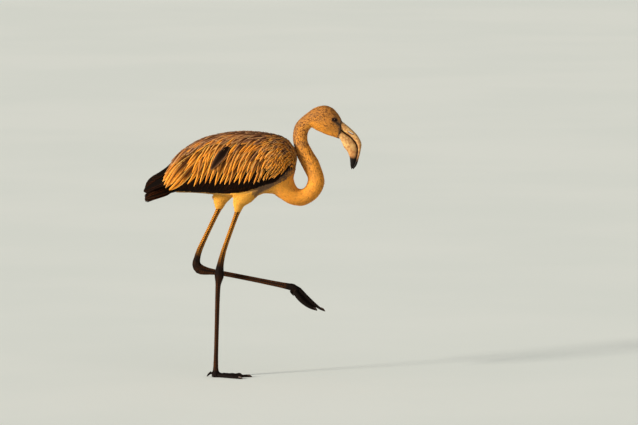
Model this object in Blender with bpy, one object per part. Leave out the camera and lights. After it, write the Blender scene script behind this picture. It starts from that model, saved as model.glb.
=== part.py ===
"""An immature greater flamingo, life size, wading on its right foot with the left foot lifted.

The bird faces +X with its left side towards +Y, and its middle plane is Y = 0. The origin is on the
floor, under the ankle of the foot that it stands on. Sizes are in millimetres, turned to metres by MM.

The trunk, folded wings and primaries share one envelope, which is lofted over ribs and then parted. The
neck, head, bill and tail are lofts over ribs too, and the legs and toes are lofts along a middle line.
"""

import math

import bmesh
import bpy
import numpy as np
from mathutils import Vector

MM = 0.001
GAP = 0.3  # clearance between neighbouring pieces

# ---------------------------------------------------------------- driving dimensions
# Ribs of the envelope of trunk and folded wings, from the wing tips to the root of the neck:
# dorsal x and z, ventral x and z, half width, and how thick the folded wing lies over the trunk.
BODY_RIBS = (
    (-182.0, 470.0, -181.0, 464.0, 3.5, 0.0),  # tips of the primaries
    (-166.0, 497.0, -167.0, 457.0, 12.0, 0.0),
    (-128.0, 523.0, -131.0, 464.0, 23.0, 0.0),
    (-91.0, 563.0, -98.0, 462.0, 37.0, 30.0),  # end of the rump
    (-41.0, 595.0, -50.0, 461.0, 54.0, 16.0),
    (13.0, 611.0, 5.0, 456.0, 66.0, 11.0),
    (68.0, 616.5, 52.0, 450.0, 73.0, 9.0),  # above the thighs
    (124.0, 613.0, 88.0, 451.0, 74.0, 8.0),
    (168.0, 602.0, 106.0, 456.0, 69.0, 7.0),
    (192.5, 579.0, 118.0, 460.0, 60.0, 6.0),  # bend of the wing
    (199.0, 552.0, 130.0, 461.0, 50.0, 3.0),
    (197.0, 518.0, 146.0, 458.0, 39.0, 0.0),  # root of the neck
)
RUMP_RIB = 3

# Lower edge of the folded wing, seen from the side, from behind to the bend of the wing.
WING_LOWER_EDGE = (
    (-70.0, 440.0),
    (-15.0, 453.0),
    (22.0, 461.0),
    (60.0, 467.0),
    (97.0, 477.0),
    (135.0, 492.0),
    (172.0, 515.0),
    (198.0, 541.0),
    (222.0, 566.0),
)
# Where the tertials end over the primaries, from below to above.
TERTIAL_EDGE = ((-100.0, 440.0), (-120.0, 466.0), (-133.0, 487.0), (-124.0, 522.0), (-108.0, 580.0))
WING_CEILING = 660.0
WING_REACH = 150.0

# Ribs of the neck, from the last rib of the trunk to the nape: dorsal x and z, ventral x and z, half width.
# Its dorsal side faces the breast where the neck bends up again.
NECK_RIBS = (
    (197.0, 518.0, 146.0, 458.0, 39.0),
    (195.0, 497.0, 162.0, 447.5, 31.0),
    (203.0, 478.5, 189.0, 433.5, 26.0),
    (214.5, 474.5, 222.0, 432.0, 23.4),
    (224.5, 482.5, 255.0, 453.5, 21.8),
    (228.5, 500.0, 271.5, 490.5, 20.4),
    (219.0, 521.0, 259.0, 538.0, 19.4),
    (204.0, 551.0, 241.5, 569.0, 18.4),
    (194.5, 582.0, 230.5, 592.0, 17.6),
    (192.0, 608.0, 229.8, 608.5, 17.1),
    (197.5, 632.5, 233.5, 619.5, 16.9),
    (210.5, 649.5, 238.5, 625.5, 17.0),
)
# Each length of the neck, with the ribs it runs between.
NECK_PIECES = (("neck_lower", 0, 5), ("neck_middle", 5, 8), ("neck_upper", 8, 11))

# Ribs of the head: dorsal x and z, ventral x and z, half width.
HEAD_RIBS = (
    (231.0, 666.0, 240.0, 626.5, 19.0),
    (249.0, 677.5, 250.0, 620.5, 22.5),
    (272.0, 682.5, 264.0, 614.0, 24.5),
    (292.0, 675.5, 280.0, 607.5, 23.0),
    (306.0, 661.0, 296.0, 602.5, 18.5),
    (316.0, 642.0, 309.0, 598.0, 13.0),
)
# Ribs of the bill: upper x and z, lower x and z, half width.
UPPER_BILL_RIBS = (
    (316.5, 641.2, 313.2, 620.4, 12.2),
    (335.0, 626.0, 324.5, 612.8, 11.0),
    (352.5, 608.5, 339.5, 601.5, 10.0),
    (363.2, 588.0, 351.8, 584.5, 9.2),
    (361.6, 569.0, 354.2, 567.6, 8.0),
    (357.0, 550.0, 350.6, 548.4, 6.4),
    (352.0, 533.5, 346.0, 532.6, 4.4),
    (344.0, 522.6, 341.8, 524.6, 1.6),
)
LOWER_BILL_RIBS = (
    (313.0, 619.5, 309.8, 598.6, 12.6),
    (323.8, 611.9, 315.0, 588.5, 12.8),
    (338.6, 600.6, 320.0, 577.5, 12.4),
    (350.6, 584.0, 328.5, 566.5, 10.8),
    (353.0, 567.2, 333.6, 554.0, 8.4),
    (349.4, 548.0, 335.4, 541.0, 6.0),
    (344.9, 532.2, 336.2, 530.5, 3.6),
    (340.8, 524.0, 338.8, 521.6, 1.3),
)

EYE_RADIUS = 5.4
EYE_PLACE = (297.0, 16.8, 646.5)
EYE_SOCKET_PLAY = 0.35

# Tail fan: x, top, underside, half width.
TAIL_RIBS = (
    (-99.5, 487.0, 464.0, 16.0),
    (-125.0, 476.0, 458.5, 22.0),
    (-150.0, 466.0, 447.0, 25.0),
    (-168.0, 459.0, 441.0, 23.0),
    (-178.5, 453.0, 438.5, 15.0),
)

# Stations of a whole leg, from inside the body to the ankle: x, y, z, half size fore and aft, and across.
RIGHT_LEG = (
    (84.0, -30.0, 486.0, 38.0, 22.0),
    (72.0, -33.0, 462.0, 32.0, 21.0),
    (63.0, -34.0, 444.0, 22.0, 16.5),
    (58.0, -33.5, 431.0, 13.0, 11.5),
    (55.0, -33.0, 421.0, 8.4, 7.8),  # end of the thigh's feathers
    (50.0, -31.0, 407.0, 6.6, 6.2),
    (34.0, -24.5, 362.0, 6.2, 5.8),
    (19.0, -18.0, 318.0, 6.9, 6.2),
    (11.0, -13.5, 284.0, 8.9, 7.7),  # top of the hock
    (8.8, -12.3, 266.0, 11.4, 9.2),
    (8.0, -11.8, 253.0, 11.8, 9.4),
    (6.0, -10.8, 238.0, 7.9, 7.0),  # top of the tarsus
    (4.4, -9.6, 218.0, 6.5, 5.9),
    (2.4, -7.0, 150.0, 5.9, 5.2),
    (0.2, -2.6, 70.0, 5.7, 5.2),
    (-0.9, -0.5, 28.0, 6.6, 6.6),
    (-1.0, -0.2, 16.6, 7.6, 8.2),
)
LEFT_LEG = (
    (30.0, 30.0, 490.0, 36.0, 22.0),
    (19.0, 33.0, 465.0, 31.0, 21.0),
    (13.0, 34.0, 447.0, 23.0, 16.5),
    (9.5, 33.5, 433.0, 14.0, 11.5),
    (7.5, 33.0, 422.5, 8.4, 7.8),
    (0.5, 32.5, 407.0, 6.6, 6.2),
    (-21.0, 31.5, 362.0, 6.2, 5.8),
    (-40.5, 30.5, 320.0, 7.2, 6.4),
    (-47.8, 30.0, 295.6, 8.6, 7.5),
    (-49.4, 30.0, 281.4, 11.2, 9.2),
    (-42.2, 30.0, 269.6, 13.2, 9.8),
    (-28.0, 29.6, 265.0, 11.0, 9.0),
    (-13.0, 29.2, 262.8, 8.4, 7.2),
    (12.0, 28.6, 259.0, 6.8, 6.0),
    (60.0, 27.5, 250.0, 6.6, 5.4),
    (120.0, 26.5, 238.0, 6.9, 5.6),
    (165.0, 26.0, 228.9, 7.8, 6.6),
    (183.0, 26.0, 225.2, 8.6, 8.0),
)
# Each piece of a leg, with the stations it runs between.
RIGHT_LEG_PIECES = (("thigh", 0, 4), ("shank", 4, 8), ("hock", 8, 11), ("tarsus", 11, 16))
LEFT_LEG_PIECES = (("thigh", 0, 4), ("shank", 4, 8), ("hock", 8, 12), ("tarsus", 12, 17))
LEG_STEPS = 2

# Toes of the standing foot: name, heading in degrees, length to the claw, half width at the root.
STANDING_TOES = (
    ("toe_inner", 34.0, 66.0, 5.6),
    ("toe_middle", -2.0, 78.0, 6.2),
    ("toe_outer", -37.0, 71.0, 5.8),
)
TOE_START = 6.5  # from the ankle's axis, inside the foot's pad, which cuts the toe
TOE_TIP_SHARE = 0.56  # a toe's half width at its claw, as a share of that at its root
TOE_POINTS = 10
KNUCKLES = 3
CLAW_LENGTH = 12.0
CLAW_NARROWING = ((0.15, 0.74), (0.55, 0.46), (1.0, 0.12))
PAD_PROFILE = ((0.0, 8.0), (2.5, 10.1), (8.0, 10.4), (12.5, 9.2), (15.9, 7.8))  # height, radius
WEB_THICKNESS = 1.8
WEB_START, WEB_REACH = 24.0, 0.90
WEB_NOTCH = 0.12  # how far the free edge curves in, as a share of its own width
HIND_TOE = (
    (-11.6, -0.2, 12.5, 3.4, 3.2),
    (-17.0, -0.2, 8.5, 3.0, 2.8),
    (-21.5, -0.2, 4.0, 1.9, 1.8),
    (-23.0, -0.2, 1.6, 0.6, 0.6),
)

# Lifted foot: its pad, and the toes that hang together under it: x, y, z, half depth, half width.
LIFTED_PAD = (
    (183.4, 26.0, 225.1, 8.8, 8.2),
    (191.5, 26.0, 223.2, 9.8, 9.0),
    (198.0, 26.0, 218.8, 9.6, 9.2),
    (203.0, 26.0, 213.3, 7.0, 7.5),
)
LIFTED_MIDDLE_TOE = (
    (197.0, 26.0, 223.4, 6.4, 4.4),
    (208.0, 26.0, 215.8, 7.2, 4.5),
    (222.0, 26.0, 201.8, 6.4, 4.3),
    (238.0, 26.0, 187.3, 5.4, 3.9),
    (254.0, 26.0, 174.6, 3.8, 3.2),
    (263.0, 26.0, 168.4, 2.8, 2.4),
    (273.0, 26.0, 162.6, 0.7, 0.6),
)
LIFTED_SIDE_TOE = (
    (196.0, 7.6, 213.8, 5.6, 4.2),
    (203.0, 9.6, 203.8, 6.4, 4.3),
    (214.0, 10.4, 190.8, 6.0, 4.1),
    (229.0, 9.8, 178.8, 5.2, 3.7),
    (242.0, 8.6, 171.2, 3.6, 3.0),
    (253.0, 7.6, 165.4, 0.7, 0.6),
)
LIFTED_HIND_TOE = (
    (186.5, 26.0, 214.4, 3.2, 3.0),
    (189.5, 26.0, 209.3, 2.8, 2.6),
    (193.5, 26.0, 201.8, 0.6, 0.6),
)
LIFTED_FOOT_Y = 26.0
LIFTED_HEADING = Vector((0.75, 0.0, -0.66))
LIFTED_WEB_SPAN = (0.14, 0.72)  # shares of the toes' lengths that the folded web runs between
FOLDED_WEB_THICKNESS = 1.4

RIB_STEPS = 2
BODY_POINTS = 20
NECK_POINTS = 16
BILL_POINTS = 12
TAIL_POINTS = 12
PAD_POINTS = 12
THIGH_POINTS = 14
LIMB_POINTS = 9
EYE_POINTS = 12

COLOURS = {
    "plumage": ((0.52, 0.27, 0.10), 0.85),
    "wing": ((0.30, 0.15, 0.07), 0.8),
    "flight": ((0.03, 0.018, 0.012), 0.6),
    "bill": ((0.60, 0.40, 0.22), 0.45),
    "leg": ((0.20, 0.10, 0.045), 0.55),
    "eye": ((0.02, 0.012, 0.01), 0.1),
}


# ---------------------------------------------------------------- curves and rings
def smooth(rows, steps):
    """Rows of numbers joined by a Catmull-Rom curve, with this many steps between neighbours."""
    rows = np.array(rows, float)
    padded = np.vstack((2 * rows[0] - rows[1], rows, 2 * rows[-1] - rows[-2]))
    curve = []
    for before, start, end, after in zip(padded, padded[1:], padded[2:], padded[3:]):
        for t in np.arange(steps) / steps:
            bend = 2 * before - 5 * start + 4 * end - after
            twist = 3 * (start - end) + after - before
            curve.append(0.5 * (2 * start + (end - before) * t + bend * t**2 + twist * t**3))
    curve.append(rows[-1])
    return np.array(curve)


def side_ring(dorsal, ventral, half_width, grow=0.0, wing_cover=0.0, points=BODY_POINTS, shift=0.0):
    """An oval ring across the middle plane, through a dorsal and a ventral point.

    wing_cover draws the ring in on its back and sides, where a folded wing lies over it.
    shift moves the ring ahead, square to its own plane.
    """
    dorsal = Vector((dorsal[0], 0.0, dorsal[1]))
    ventral = Vector((ventral[0], 0.0, ventral[1]))
    up = (dorsal - ventral).normalized()
    centre = (dorsal + ventral) / 2 + Vector((0.0, 1.0, 0.0)).cross(up) * shift
    half_depth = (dorsal - ventral).length / 2
    ring = []
    for i in range(points):
        angle = 2 * math.pi * i / points
        cover = wing_cover * min(1.0, max(0.0, (math.cos(angle) + 0.86) / 0.45))
        tall = half_depth + grow - cover
        wide = half_width + grow - cover
        ring.append(centre + up * (tall * math.cos(angle)) + Vector((0.0, wide * math.sin(angle), 0.0)))
    return ring


def limb_frames(stations, steps):
    """Centre, direction ahead, and the row of sizes at each ring of a limb."""
    rows = smooth(stations, steps)
    line = [Vector(row[:3]) for row in rows]
    frames = []
    for i, (centre, row) in enumerate(zip(line, rows)):
        ahead = (line[min(i + 1, len(line) - 1)] - line[max(i - 1, 0)]).normalized()
        frames.append((centre, ahead, row))
    return frames


def limb_ring(frame, shift=0.0, points=LIMB_POINTS):
    """An oval ring square to a limb's line, moved along it by shift."""
    centre, ahead, row = frame
    fore = Vector((0.0, 1.0, 0.0)).cross(ahead).normalized()
    across = ahead.cross(fore)
    ring = []
    for k in range(points):
        angle = 2 * math.pi * k / points
        reach = fore * (row[3] * math.cos(angle)) + across * (row[4] * math.sin(angle))
        ring.append(centre + ahead * shift + reach)
    return ring


def lengthened(rings, amount):
    """The rings with both end ones moved outwards, so that a grown shape is longer too."""
    rings = [list(ring) for ring in rings]
    for end, neighbour in ((0, 1), (-1, -2)):
        away = sum(rings[end], Vector()) - sum(rings[neighbour], Vector())
        rings[end] = [point + away.normalized() * amount for point in rings[end]]
    return rings


# ---------------------------------------------------------------- objects
def material(kind):
    """The Principled material of one kind of surface, made once."""
    found = bpy.data.materials.get(kind)
    if found:
        return found
    colour, roughness = COLOURS[kind]
    made = bpy.data.materials.new(kind)
    made.use_nodes = True
    shader = made.node_tree.nodes["Principled BSDF"]
    shader.inputs["Base Color"].default_value = (*colour, 1.0)
    shader.inputs["Roughness"].default_value = roughness
    shader.inputs["Metallic"].default_value = 0.0
    return made


def add_object(name, shape, kind=None, helper=False):
    """Turns a bmesh in millimetres into an object, faces outwards. A helper only cuts, and isn't shown."""
    bmesh.ops.recalc_face_normals(shape, faces=shape.faces)
    if shape.calc_volume(signed=True) < 0:
        bmesh.ops.reverse_faces(shape, faces=shape.faces)
    bmesh.ops.scale(shape, vec=(MM, MM, MM), verts=shape.verts)
    mesh = bpy.data.meshes.new(name)
    shape.to_mesh(mesh)
    shape.free()
    mesh.shade_smooth()
    mesh.set_sharp_from_angle(angle=math.radians(50))
    made = bpy.data.objects.new(name, mesh)
    bpy.context.scene.collection.objects.link(made)
    if kind:
        mesh.materials.append(material(kind))
    if helper:
        made.hide_render = True
        made.display_type = "WIRE"
    return made


def loft(rings):
    """A closed bmesh over a row of rings with the same number of points."""
    shape = bmesh.new()
    loops = [[shape.verts.new(point) for point in ring] for ring in rings]
    count = len(rings[0])
    for first, second in zip(loops, loops[1:]):
        for i in range(count):
            j = (i + 1) % count
            shape.faces.new((first[i], first[j], second[j]))
            shape.faces.new((first[i], second[j], second[i]))
    for loop in (loops[0], loops[-1]):
        pole = shape.verts.new(sum((v.co for v in loop), Vector()) / count)
        for i in range(count):
            shape.faces.new((loop[i], loop[(i + 1) % count], pole))
    return shape


def slab(outline, low, high, axis):
    """A closed outline in the plane square to axis, extruded from low to high along it."""
    shape = bmesh.new()
    place = {"Y": lambda a, b, level: (a, level, b), "Z": lambda a, b, level: (a, b, level)}[axis]
    face = shape.faces.new([shape.verts.new(place(a, b, low)) for a, b in outline])
    made = bmesh.ops.extrude_face_region(shape, geom=[face])
    lifted = [item for item in made["geom"] if isinstance(item, bmesh.types.BMVert)]
    step = Vector(place(0.0, 0.0, high - low))
    bmesh.ops.translate(shape, vec=step, verts=lifted)
    return shape


def cut(target, cutter, operation="DIFFERENCE"):
    """Adds a Boolean to target."""
    modifier = target.modifiers.new(f"{operation.lower()}_{cutter.name}", "BOOLEAN")
    modifier.operation = operation
    modifier.solver = "EXACT"
    modifier.object = cutter


# ---------------------------------------------------------------- trunk, wings and tail
def body_rings(first_rib, grow=0.0, covered=False):
    """Rings of the body's envelope, or of the trunk under the folded wings where covered."""
    rings = []
    for row in smooth(BODY_RIBS[first_rib:], RIB_STEPS):
        cover = max(0.0, row[5]) if covered else 0.0
        rings.append(side_ring(row[0:2], row[2:4], row[4], grow, cover))
    return lengthened(rings, grow)


def tail_rings(grow=0.0):
    """Rings of the short tail fan."""
    rings = []
    for x, top, under, half_width in smooth(TAIL_RIBS, RIB_STEPS):
        rings.append(side_ring((x, top), (x, under), half_width, grow, points=TAIL_POINTS))
    return lengthened(rings, grow)


def wing_outline(shrink):
    """The folded wing's side outline, which runs above the back, with its edges drawn in by shrink."""
    lower = [(x, z + shrink) for x, z in smooth(WING_LOWER_EDGE, 2)]
    rear = [(x + shrink, z) for x, z in smooth(TERTIAL_EDGE, 3)]
    return rear[::-1] + lower + [(lower[-1][0], WING_CEILING), (rear[-1][0], WING_CEILING)]


def primaries_outline():
    """Everything behind the tertials' edge."""
    rear = [(x - GAP, z) for x, z in smooth(TERTIAL_EDGE, 3)]
    return rear + [(-215.0, 580.0), (-215.0, 440.0)]


def build_body():
    """The trunk, both folded wings with their primaries, and the tail."""
    add_object("trunk", loft(body_rings(RUMP_RIB, covered=True)), "plumage")
    add_object("tail", loft(tail_rings()), "flight")
    trunk_space = add_object("trunk_space", loft(body_rings(RUMP_RIB, GAP, covered=True)), helper=True)
    tail_space = add_object("tail_space", loft(tail_rings(GAP)), helper=True)
    for side, sign in (("right", -1), ("left", 1)):
        for part, outline, kind in (
            ("wing", wing_outline(0.0), "wing"),
            ("primaries", primaries_outline(), "flight"),
        ):
            near, far = sorted((sign * GAP, sign * WING_REACH))
            window = add_object(f"{part}_window_{side}", slab(outline, near, far, "Y"), helper=True)
            feathers = add_object(f"{part}_{side}", loft(body_rings(0)), kind)
            cut(feathers, window, "INTERSECT")
            cut(feathers, trunk_space)
            cut(feathers, tail_space)


# ---------------------------------------------------------------- neck and head
def build_neck():
    """The neck in three lengths, parted from the trunk, each other and the head by thin cuts."""
    ribs = smooth(NECK_RIBS, RIB_STEPS)
    for name, start, end in NECK_PIECES:
        span = ribs[start * RIB_STEPS : end * RIB_STEPS + 1]
        shifts = [GAP if start == 0 else GAP / 2] + [0.0] * (len(span) - 2) + [-GAP / 2]
        rings = [
            side_ring(rib[0:2], rib[2:4], rib[4], points=NECK_POINTS, shift=shift)
            for rib, shift in zip(span, shifts)
        ]
        add_object(name, loft(rings), "plumage")


def head_rings():
    """Rings of the head, the first of them on the end of the neck."""
    ribs = smooth((NECK_RIBS[-1], *HEAD_RIBS), RIB_STEPS)
    rings = [side_ring(rib[0:2], rib[2:4], rib[4], points=NECK_POINTS) for rib in ribs]
    nape = NECK_RIBS[-1]
    rings[0] = side_ring(nape[0:2], nape[2:4], nape[4], points=NECK_POINTS, shift=GAP / 2)
    return rings


def build_head():
    """The head with its eyes set in sockets, and the two halves of the bill."""
    head = add_object("head", loft(head_rings()), "plumage")
    x, y, z = EYE_PLACE
    for side, sign in (("right", -1), ("left", 1)):
        for name, radius, kind in (
            (f"eye_{side}", EYE_RADIUS, "eye"),
            (f"socket_{side}", EYE_RADIUS + EYE_SOCKET_PLAY, None),
        ):
            ball = bmesh.new()
            bmesh.ops.create_uvsphere(ball, u_segments=EYE_POINTS, v_segments=EYE_POINTS // 2, radius=radius)
            bmesh.ops.translate(ball, vec=(x, sign * y, z), verts=ball.verts)
            made = add_object(name, ball, kind, helper=kind is None)
        cut(head, made)
    for name, ribs in (("bill_upper", UPPER_BILL_RIBS), ("bill_lower", LOWER_BILL_RIBS)):
        rows = smooth(ribs, RIB_STEPS)
        rings = [side_ring(row[0:2], row[2:4], row[4], points=BILL_POINTS) for row in rows]
        add_object(name, loft(rings), "bill")


# ---------------------------------------------------------------- legs and feet
def build_legs():
    """Both legs, each one line parted by thin cuts. The thighs are cut where they enter the body."""
    body_space = add_object("body_space", loft(body_rings(0, GAP)), helper=True)
    for side, stations, pieces in (
        ("right", RIGHT_LEG, RIGHT_LEG_PIECES),
        ("left", LEFT_LEG, LEFT_LEG_PIECES),
    ):
        frames = limb_frames(stations, LEG_STEPS)
        for name, start, end in pieces:
            span = frames[start * LEG_STEPS : end * LEG_STEPS + 1]
            points = THIGH_POINTS if name == "thigh" else LIMB_POINTS
            shifts = [GAP / 2] + [0.0] * (len(span) - 2) + [-GAP / 2]
            rings = [limb_ring(frame, shift, points) for frame, shift in zip(span, shifts)]
            limb = add_object(f"{name}_{side}", loft(rings), "plumage" if name == "thigh" else "leg")
            if name == "thigh":
                cut(limb, body_space)


def toe_half_width(share, root):
    """A toe's half width: it tapers, and swells at each knuckle and at the pad before the claw."""
    taper = root * (1 - (1 - TOE_TIP_SHARE) * share)
    return taper * (1 + 0.12 * math.cos(2 * math.pi * KNUCKLES * share))


def standing_toe_rings(heading, length, root, left_angle, right_angle):
    """Rings of one toe with a flat sole and a claw, kept off the planes it shares with its neighbours."""
    ahead = Vector((math.cos(heading), math.sin(heading), 0.0))
    across = Vector((-ahead.y, ahead.x, 0.0))
    places = []
    for share in np.linspace(0, 1, 8):
        places.append((TOE_START + share * (length - TOE_START), toe_half_width(share, root)))
    last = places[-1][1]
    places += [(length + CLAW_LENGTH * reach, last * narrow) for reach, narrow in CLAW_NARROWING]
    rings = []
    for reach, half in places:
        ring = []
        for k in range(TOE_POINTS):
            angle = 2 * math.pi * k / TOE_POINTS
            aside = half * math.cos(angle)
            aside = min(aside, reach * math.tan(left_angle) - GAP)
            aside = max(aside, GAP - reach * math.tan(right_angle))
            height = max(0.0, half * (0.8 + 1.1 * math.sin(angle)))
            ring.append(ahead * reach + across * aside + Vector((0.0, 0.0, height)))
        rings.append(ring)
    return rings


def pad_rings(grow=0.0):
    """The pad under the ankle, as a turned profile."""
    rings = []
    for height, radius in smooth(PAD_PROFILE, 2):
        wide = radius + grow
        spots = [2 * math.pi * k / PAD_POINTS for k in range(PAD_POINTS)]
        rings.append([Vector((-1.0 + wide * math.cos(a), wide * math.sin(a), height)) for a in spots])
    return lengthened(rings, grow)


def web_outline(first, second):
    """The web's outline on the floor, between two neighbouring toes, the first on its left."""
    edges = []
    for (_, degrees, length, root), side in ((first, -1), (second, 1)):
        heading = math.radians(degrees)
        ahead = Vector((math.cos(heading), math.sin(heading)))
        across = Vector((-ahead.y, ahead.x)) * side
        edge = []
        for reach in np.linspace(WEB_START, length * WEB_REACH, 8):
            half = toe_half_width((reach - TOE_START) / (length - TOE_START), root)
            edge.append(ahead * reach + across * (0.9 * half + GAP))
        edges.append(edge)
    left, right = edges
    chord = right[-1] - left[-1]
    notch = []
    for t in (0.25, 0.5, 0.75):
        spot = left[-1] + chord * t
        notch.append(spot - spot.normalized() * chord.length * WEB_NOTCH * 4 * t * (1 - t))
    return [tuple(point) for point in (*left, *notch, *right[::-1])]


def build_standing_foot():
    """The right foot on the floor: a pad, three toes with webs between, and the small hind toe."""
    add_object("foot_pad_right", loft(pad_rings()), "leg")
    pad_space = add_object("pad_space_right", loft(pad_rings(GAP)), helper=True)
    headings = [math.radians(degrees) for _, degrees, _, _ in STANDING_TOES]
    for i, (name, _, length, root) in enumerate(STANDING_TOES):
        left = (headings[i - 1] - headings[i]) / 2 if i > 0 else math.pi / 3
        right = (headings[i] - headings[i + 1]) / 2 if i + 1 < len(headings) else math.pi / 3
        rings = standing_toe_rings(headings[i], length, root, left, right)
        toe = add_object(f"{name}_right", loft(rings), "leg")
        cut(toe, pad_space)
    for name, first, second in (("web_inner", 0, 1), ("web_outer", 1, 2)):
        outline = web_outline(STANDING_TOES[first], STANDING_TOES[second])
        add_object(f"{name}_right", slab(outline, 0.0, WEB_THICKNESS, "Z"), "leg")
    hind = add_object("toe_hind_right", loft(limb_rings(HIND_TOE, 2, 10)), "leg")
    cut(hind, pad_space)


def limb_rings(stations, steps, points=LIMB_POINTS, grow=0.0):
    """All the rings of a short limb."""
    grown = [(*row[:3], row[3] + grow, row[4] + grow) for row in stations]
    rings = [limb_ring(frame, 0.0, points) for frame in limb_frames(grown, steps)]
    return lengthened(rings, grow)


def side_toe(sign):
    """Stations of a lifted side toe, on the left (1) or the right (-1) of the middle one."""
    return [(x, LIFTED_FOOT_Y + sign * y, z, deep, wide) for x, y, z, deep, wide in LIFTED_SIDE_TOE]


def folded_web(middle, side):
    """A thin strip from the line of one hanging toe to that of another."""
    rings = []
    middle_line, side_line = smooth(middle, 4), smooth(side, 4)
    for share in np.linspace(*LIFTED_WEB_SPAN, 7):
        ends = []
        for line in (middle_line, side_line):
            spot = share * (len(line) - 1)
            low = int(spot)
            ends.append(Vector((line[low] + (line[low + 1] - line[low]) * (spot - low))[:3]))
        thick = (ends[1] - ends[0]).cross(LIFTED_HEADING).normalized() * (FOLDED_WEB_THICKNESS / 2)
        rings.append([ends[0] + thick, ends[1] + thick, ends[1] - thick, ends[0] - thick])
    return loft(rings)


def build_lifted_foot():
    """The left foot, which hangs with its toes together and its webs folded between them."""
    add_object("foot_pad_left", loft(limb_rings(LIFTED_PAD, 2)), "leg")
    pad_space = add_object("pad_space_left", loft(limb_rings(LIFTED_PAD, 2, grow=GAP)), helper=True)
    spaces = {}
    for name, stations in (
        ("toe_inner", side_toe(-1)),
        ("toe_middle", LIFTED_MIDDLE_TOE),
        ("toe_outer", side_toe(1)),
        ("toe_hind", LIFTED_HIND_TOE),
    ):
        toe = add_object(f"{name}_left", loft(limb_rings(stations, 2, TOE_POINTS)), "leg")
        cut(toe, pad_space)
        space = loft(limb_rings(stations, 2, TOE_POINTS, GAP))
        spaces[name] = add_object(f"{name}_space_left", space, helper=True)
    for name, toe, sign in (("web_inner", "toe_inner", -1), ("web_outer", "toe_outer", 1)):
        web = add_object(f"{name}_left", folded_web(LIFTED_MIDDLE_TOE, side_toe(sign)), "leg")
        cut(web, spaces["toe_middle"])
        cut(web, spaces[toe])
        cut(web, pad_space)


def main():
    """Clears the scene and builds the bird."""
    for old in list(bpy.data.objects):
        bpy.data.objects.remove(old)
    build_body()
    build_neck()
    build_head()
    build_legs()
    build_standing_foot()
    build_lifted_foot()


if __name__ == "__main__":
    main()
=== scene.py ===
"""A greater flamingo in its first year, as a still, life-size model.

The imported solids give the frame. One skin replaces the flesh, the legs are scaled skin, and feathers are
laid over the flesh as closed, thin vanes that follow the lie of the plumage. The tables are in millimetres,
and the meshes in metres.
"""

from __future__ import annotations

import logging
import math
from collections.abc import Callable
from dataclasses import dataclass, field
from enum import Enum

import bmesh
import bpy
import numpy as np
from bpy.types import Material, Mesh, Node, NodeSocket, Object
from mathutils import Matrix, Vector
from mathutils.kdtree import KDTree


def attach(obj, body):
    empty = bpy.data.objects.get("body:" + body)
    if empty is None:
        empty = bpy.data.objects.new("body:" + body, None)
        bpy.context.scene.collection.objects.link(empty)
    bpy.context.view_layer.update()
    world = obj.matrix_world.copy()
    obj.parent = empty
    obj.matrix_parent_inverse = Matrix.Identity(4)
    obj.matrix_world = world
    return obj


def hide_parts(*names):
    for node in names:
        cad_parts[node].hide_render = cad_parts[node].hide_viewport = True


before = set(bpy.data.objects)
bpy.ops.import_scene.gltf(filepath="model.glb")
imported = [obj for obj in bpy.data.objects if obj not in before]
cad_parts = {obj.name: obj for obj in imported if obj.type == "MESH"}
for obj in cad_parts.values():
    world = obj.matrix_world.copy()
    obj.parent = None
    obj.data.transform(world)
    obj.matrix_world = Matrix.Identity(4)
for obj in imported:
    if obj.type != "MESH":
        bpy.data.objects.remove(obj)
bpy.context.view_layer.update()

LOG = logging.getLogger("flamingo")
MM = 0.001
BODY = "root"
BAKE_MAP = "OFBake"
TUFT_PATCH = 0.003

Rows = tuple[tuple[float, ...], ...]
Triple = tuple[float, float, float]
Names = tuple[str, ...]
Array = np.ndarray
Number = Array | float
Placer = Callable[[Array, Array], Array]

# Ribs of the body with its folded wings, from the wing tips to the root of the neck: dorsal x and z, ventral
# x and z, half width, and how thick the folded wing lies over the trunk.
BODY_RIBS: Rows = (
    (-182.0, 470.0, -181.0, 464.0, 3.5, 0.0),
    (-166.0, 497.0, -167.0, 457.0, 12.0, 0.0),
    (-128.0, 523.0, -131.0, 464.0, 23.0, 0.0),
    (-91.0, 563.0, -98.0, 462.0, 37.0, 30.0),
    (-41.0, 595.0, -50.0, 461.0, 54.0, 16.0),
    (13.0, 611.0, 5.0, 456.0, 66.0, 11.0),
    (68.0, 616.5, 52.0, 450.0, 73.0, 9.0),
    (124.0, 613.0, 88.0, 451.0, 74.0, 8.0),
    (168.0, 602.0, 106.0, 456.0, 69.0, 7.0),
    (192.5, 579.0, 118.0, 460.0, 60.0, 6.0),
    (199.0, 552.0, 130.0, 461.0, 50.0, 3.0),
    (197.0, 518.0, 146.0, 458.0, 39.0, 0.0),
)
NECK_RIBS: Rows = (
    (195.0, 497.0, 162.0, 447.5, 31.0, 0.0),
    (203.0, 478.5, 189.0, 433.5, 26.0, 0.0),
    (214.5, 474.5, 222.0, 432.0, 23.4, 0.0),
    (224.5, 482.5, 255.0, 453.5, 21.8, 0.0),
    (228.5, 500.0, 271.5, 490.5, 20.4, 0.0),
    (219.0, 521.0, 259.0, 538.0, 19.4, 0.0),
    (204.0, 551.0, 241.5, 569.0, 18.4, 0.0),
    (194.5, 582.0, 230.5, 592.0, 17.6, 0.0),
    (192.0, 608.0, 229.8, 608.5, 17.1, 0.0),
    (197.5, 632.5, 233.5, 619.5, 16.9, 0.0),
    (210.5, 649.5, 238.5, 625.5, 17.0, 0.0),
)
HEAD_RIBS: Rows = (
    (231.0, 666.0, 240.0, 626.5, 19.0, 0.0),
    (249.0, 677.5, 250.0, 620.5, 22.5, 0.0),
    (272.0, 682.5, 264.0, 614.0, 24.5, 0.0),
    (292.0, 675.5, 280.0, 607.5, 23.0, 0.0),
    (306.0, 661.0, 296.0, 602.5, 18.5, 0.0),
    (316.0, 642.0, 309.0, 598.0, 13.0, 0.0),
)
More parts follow.
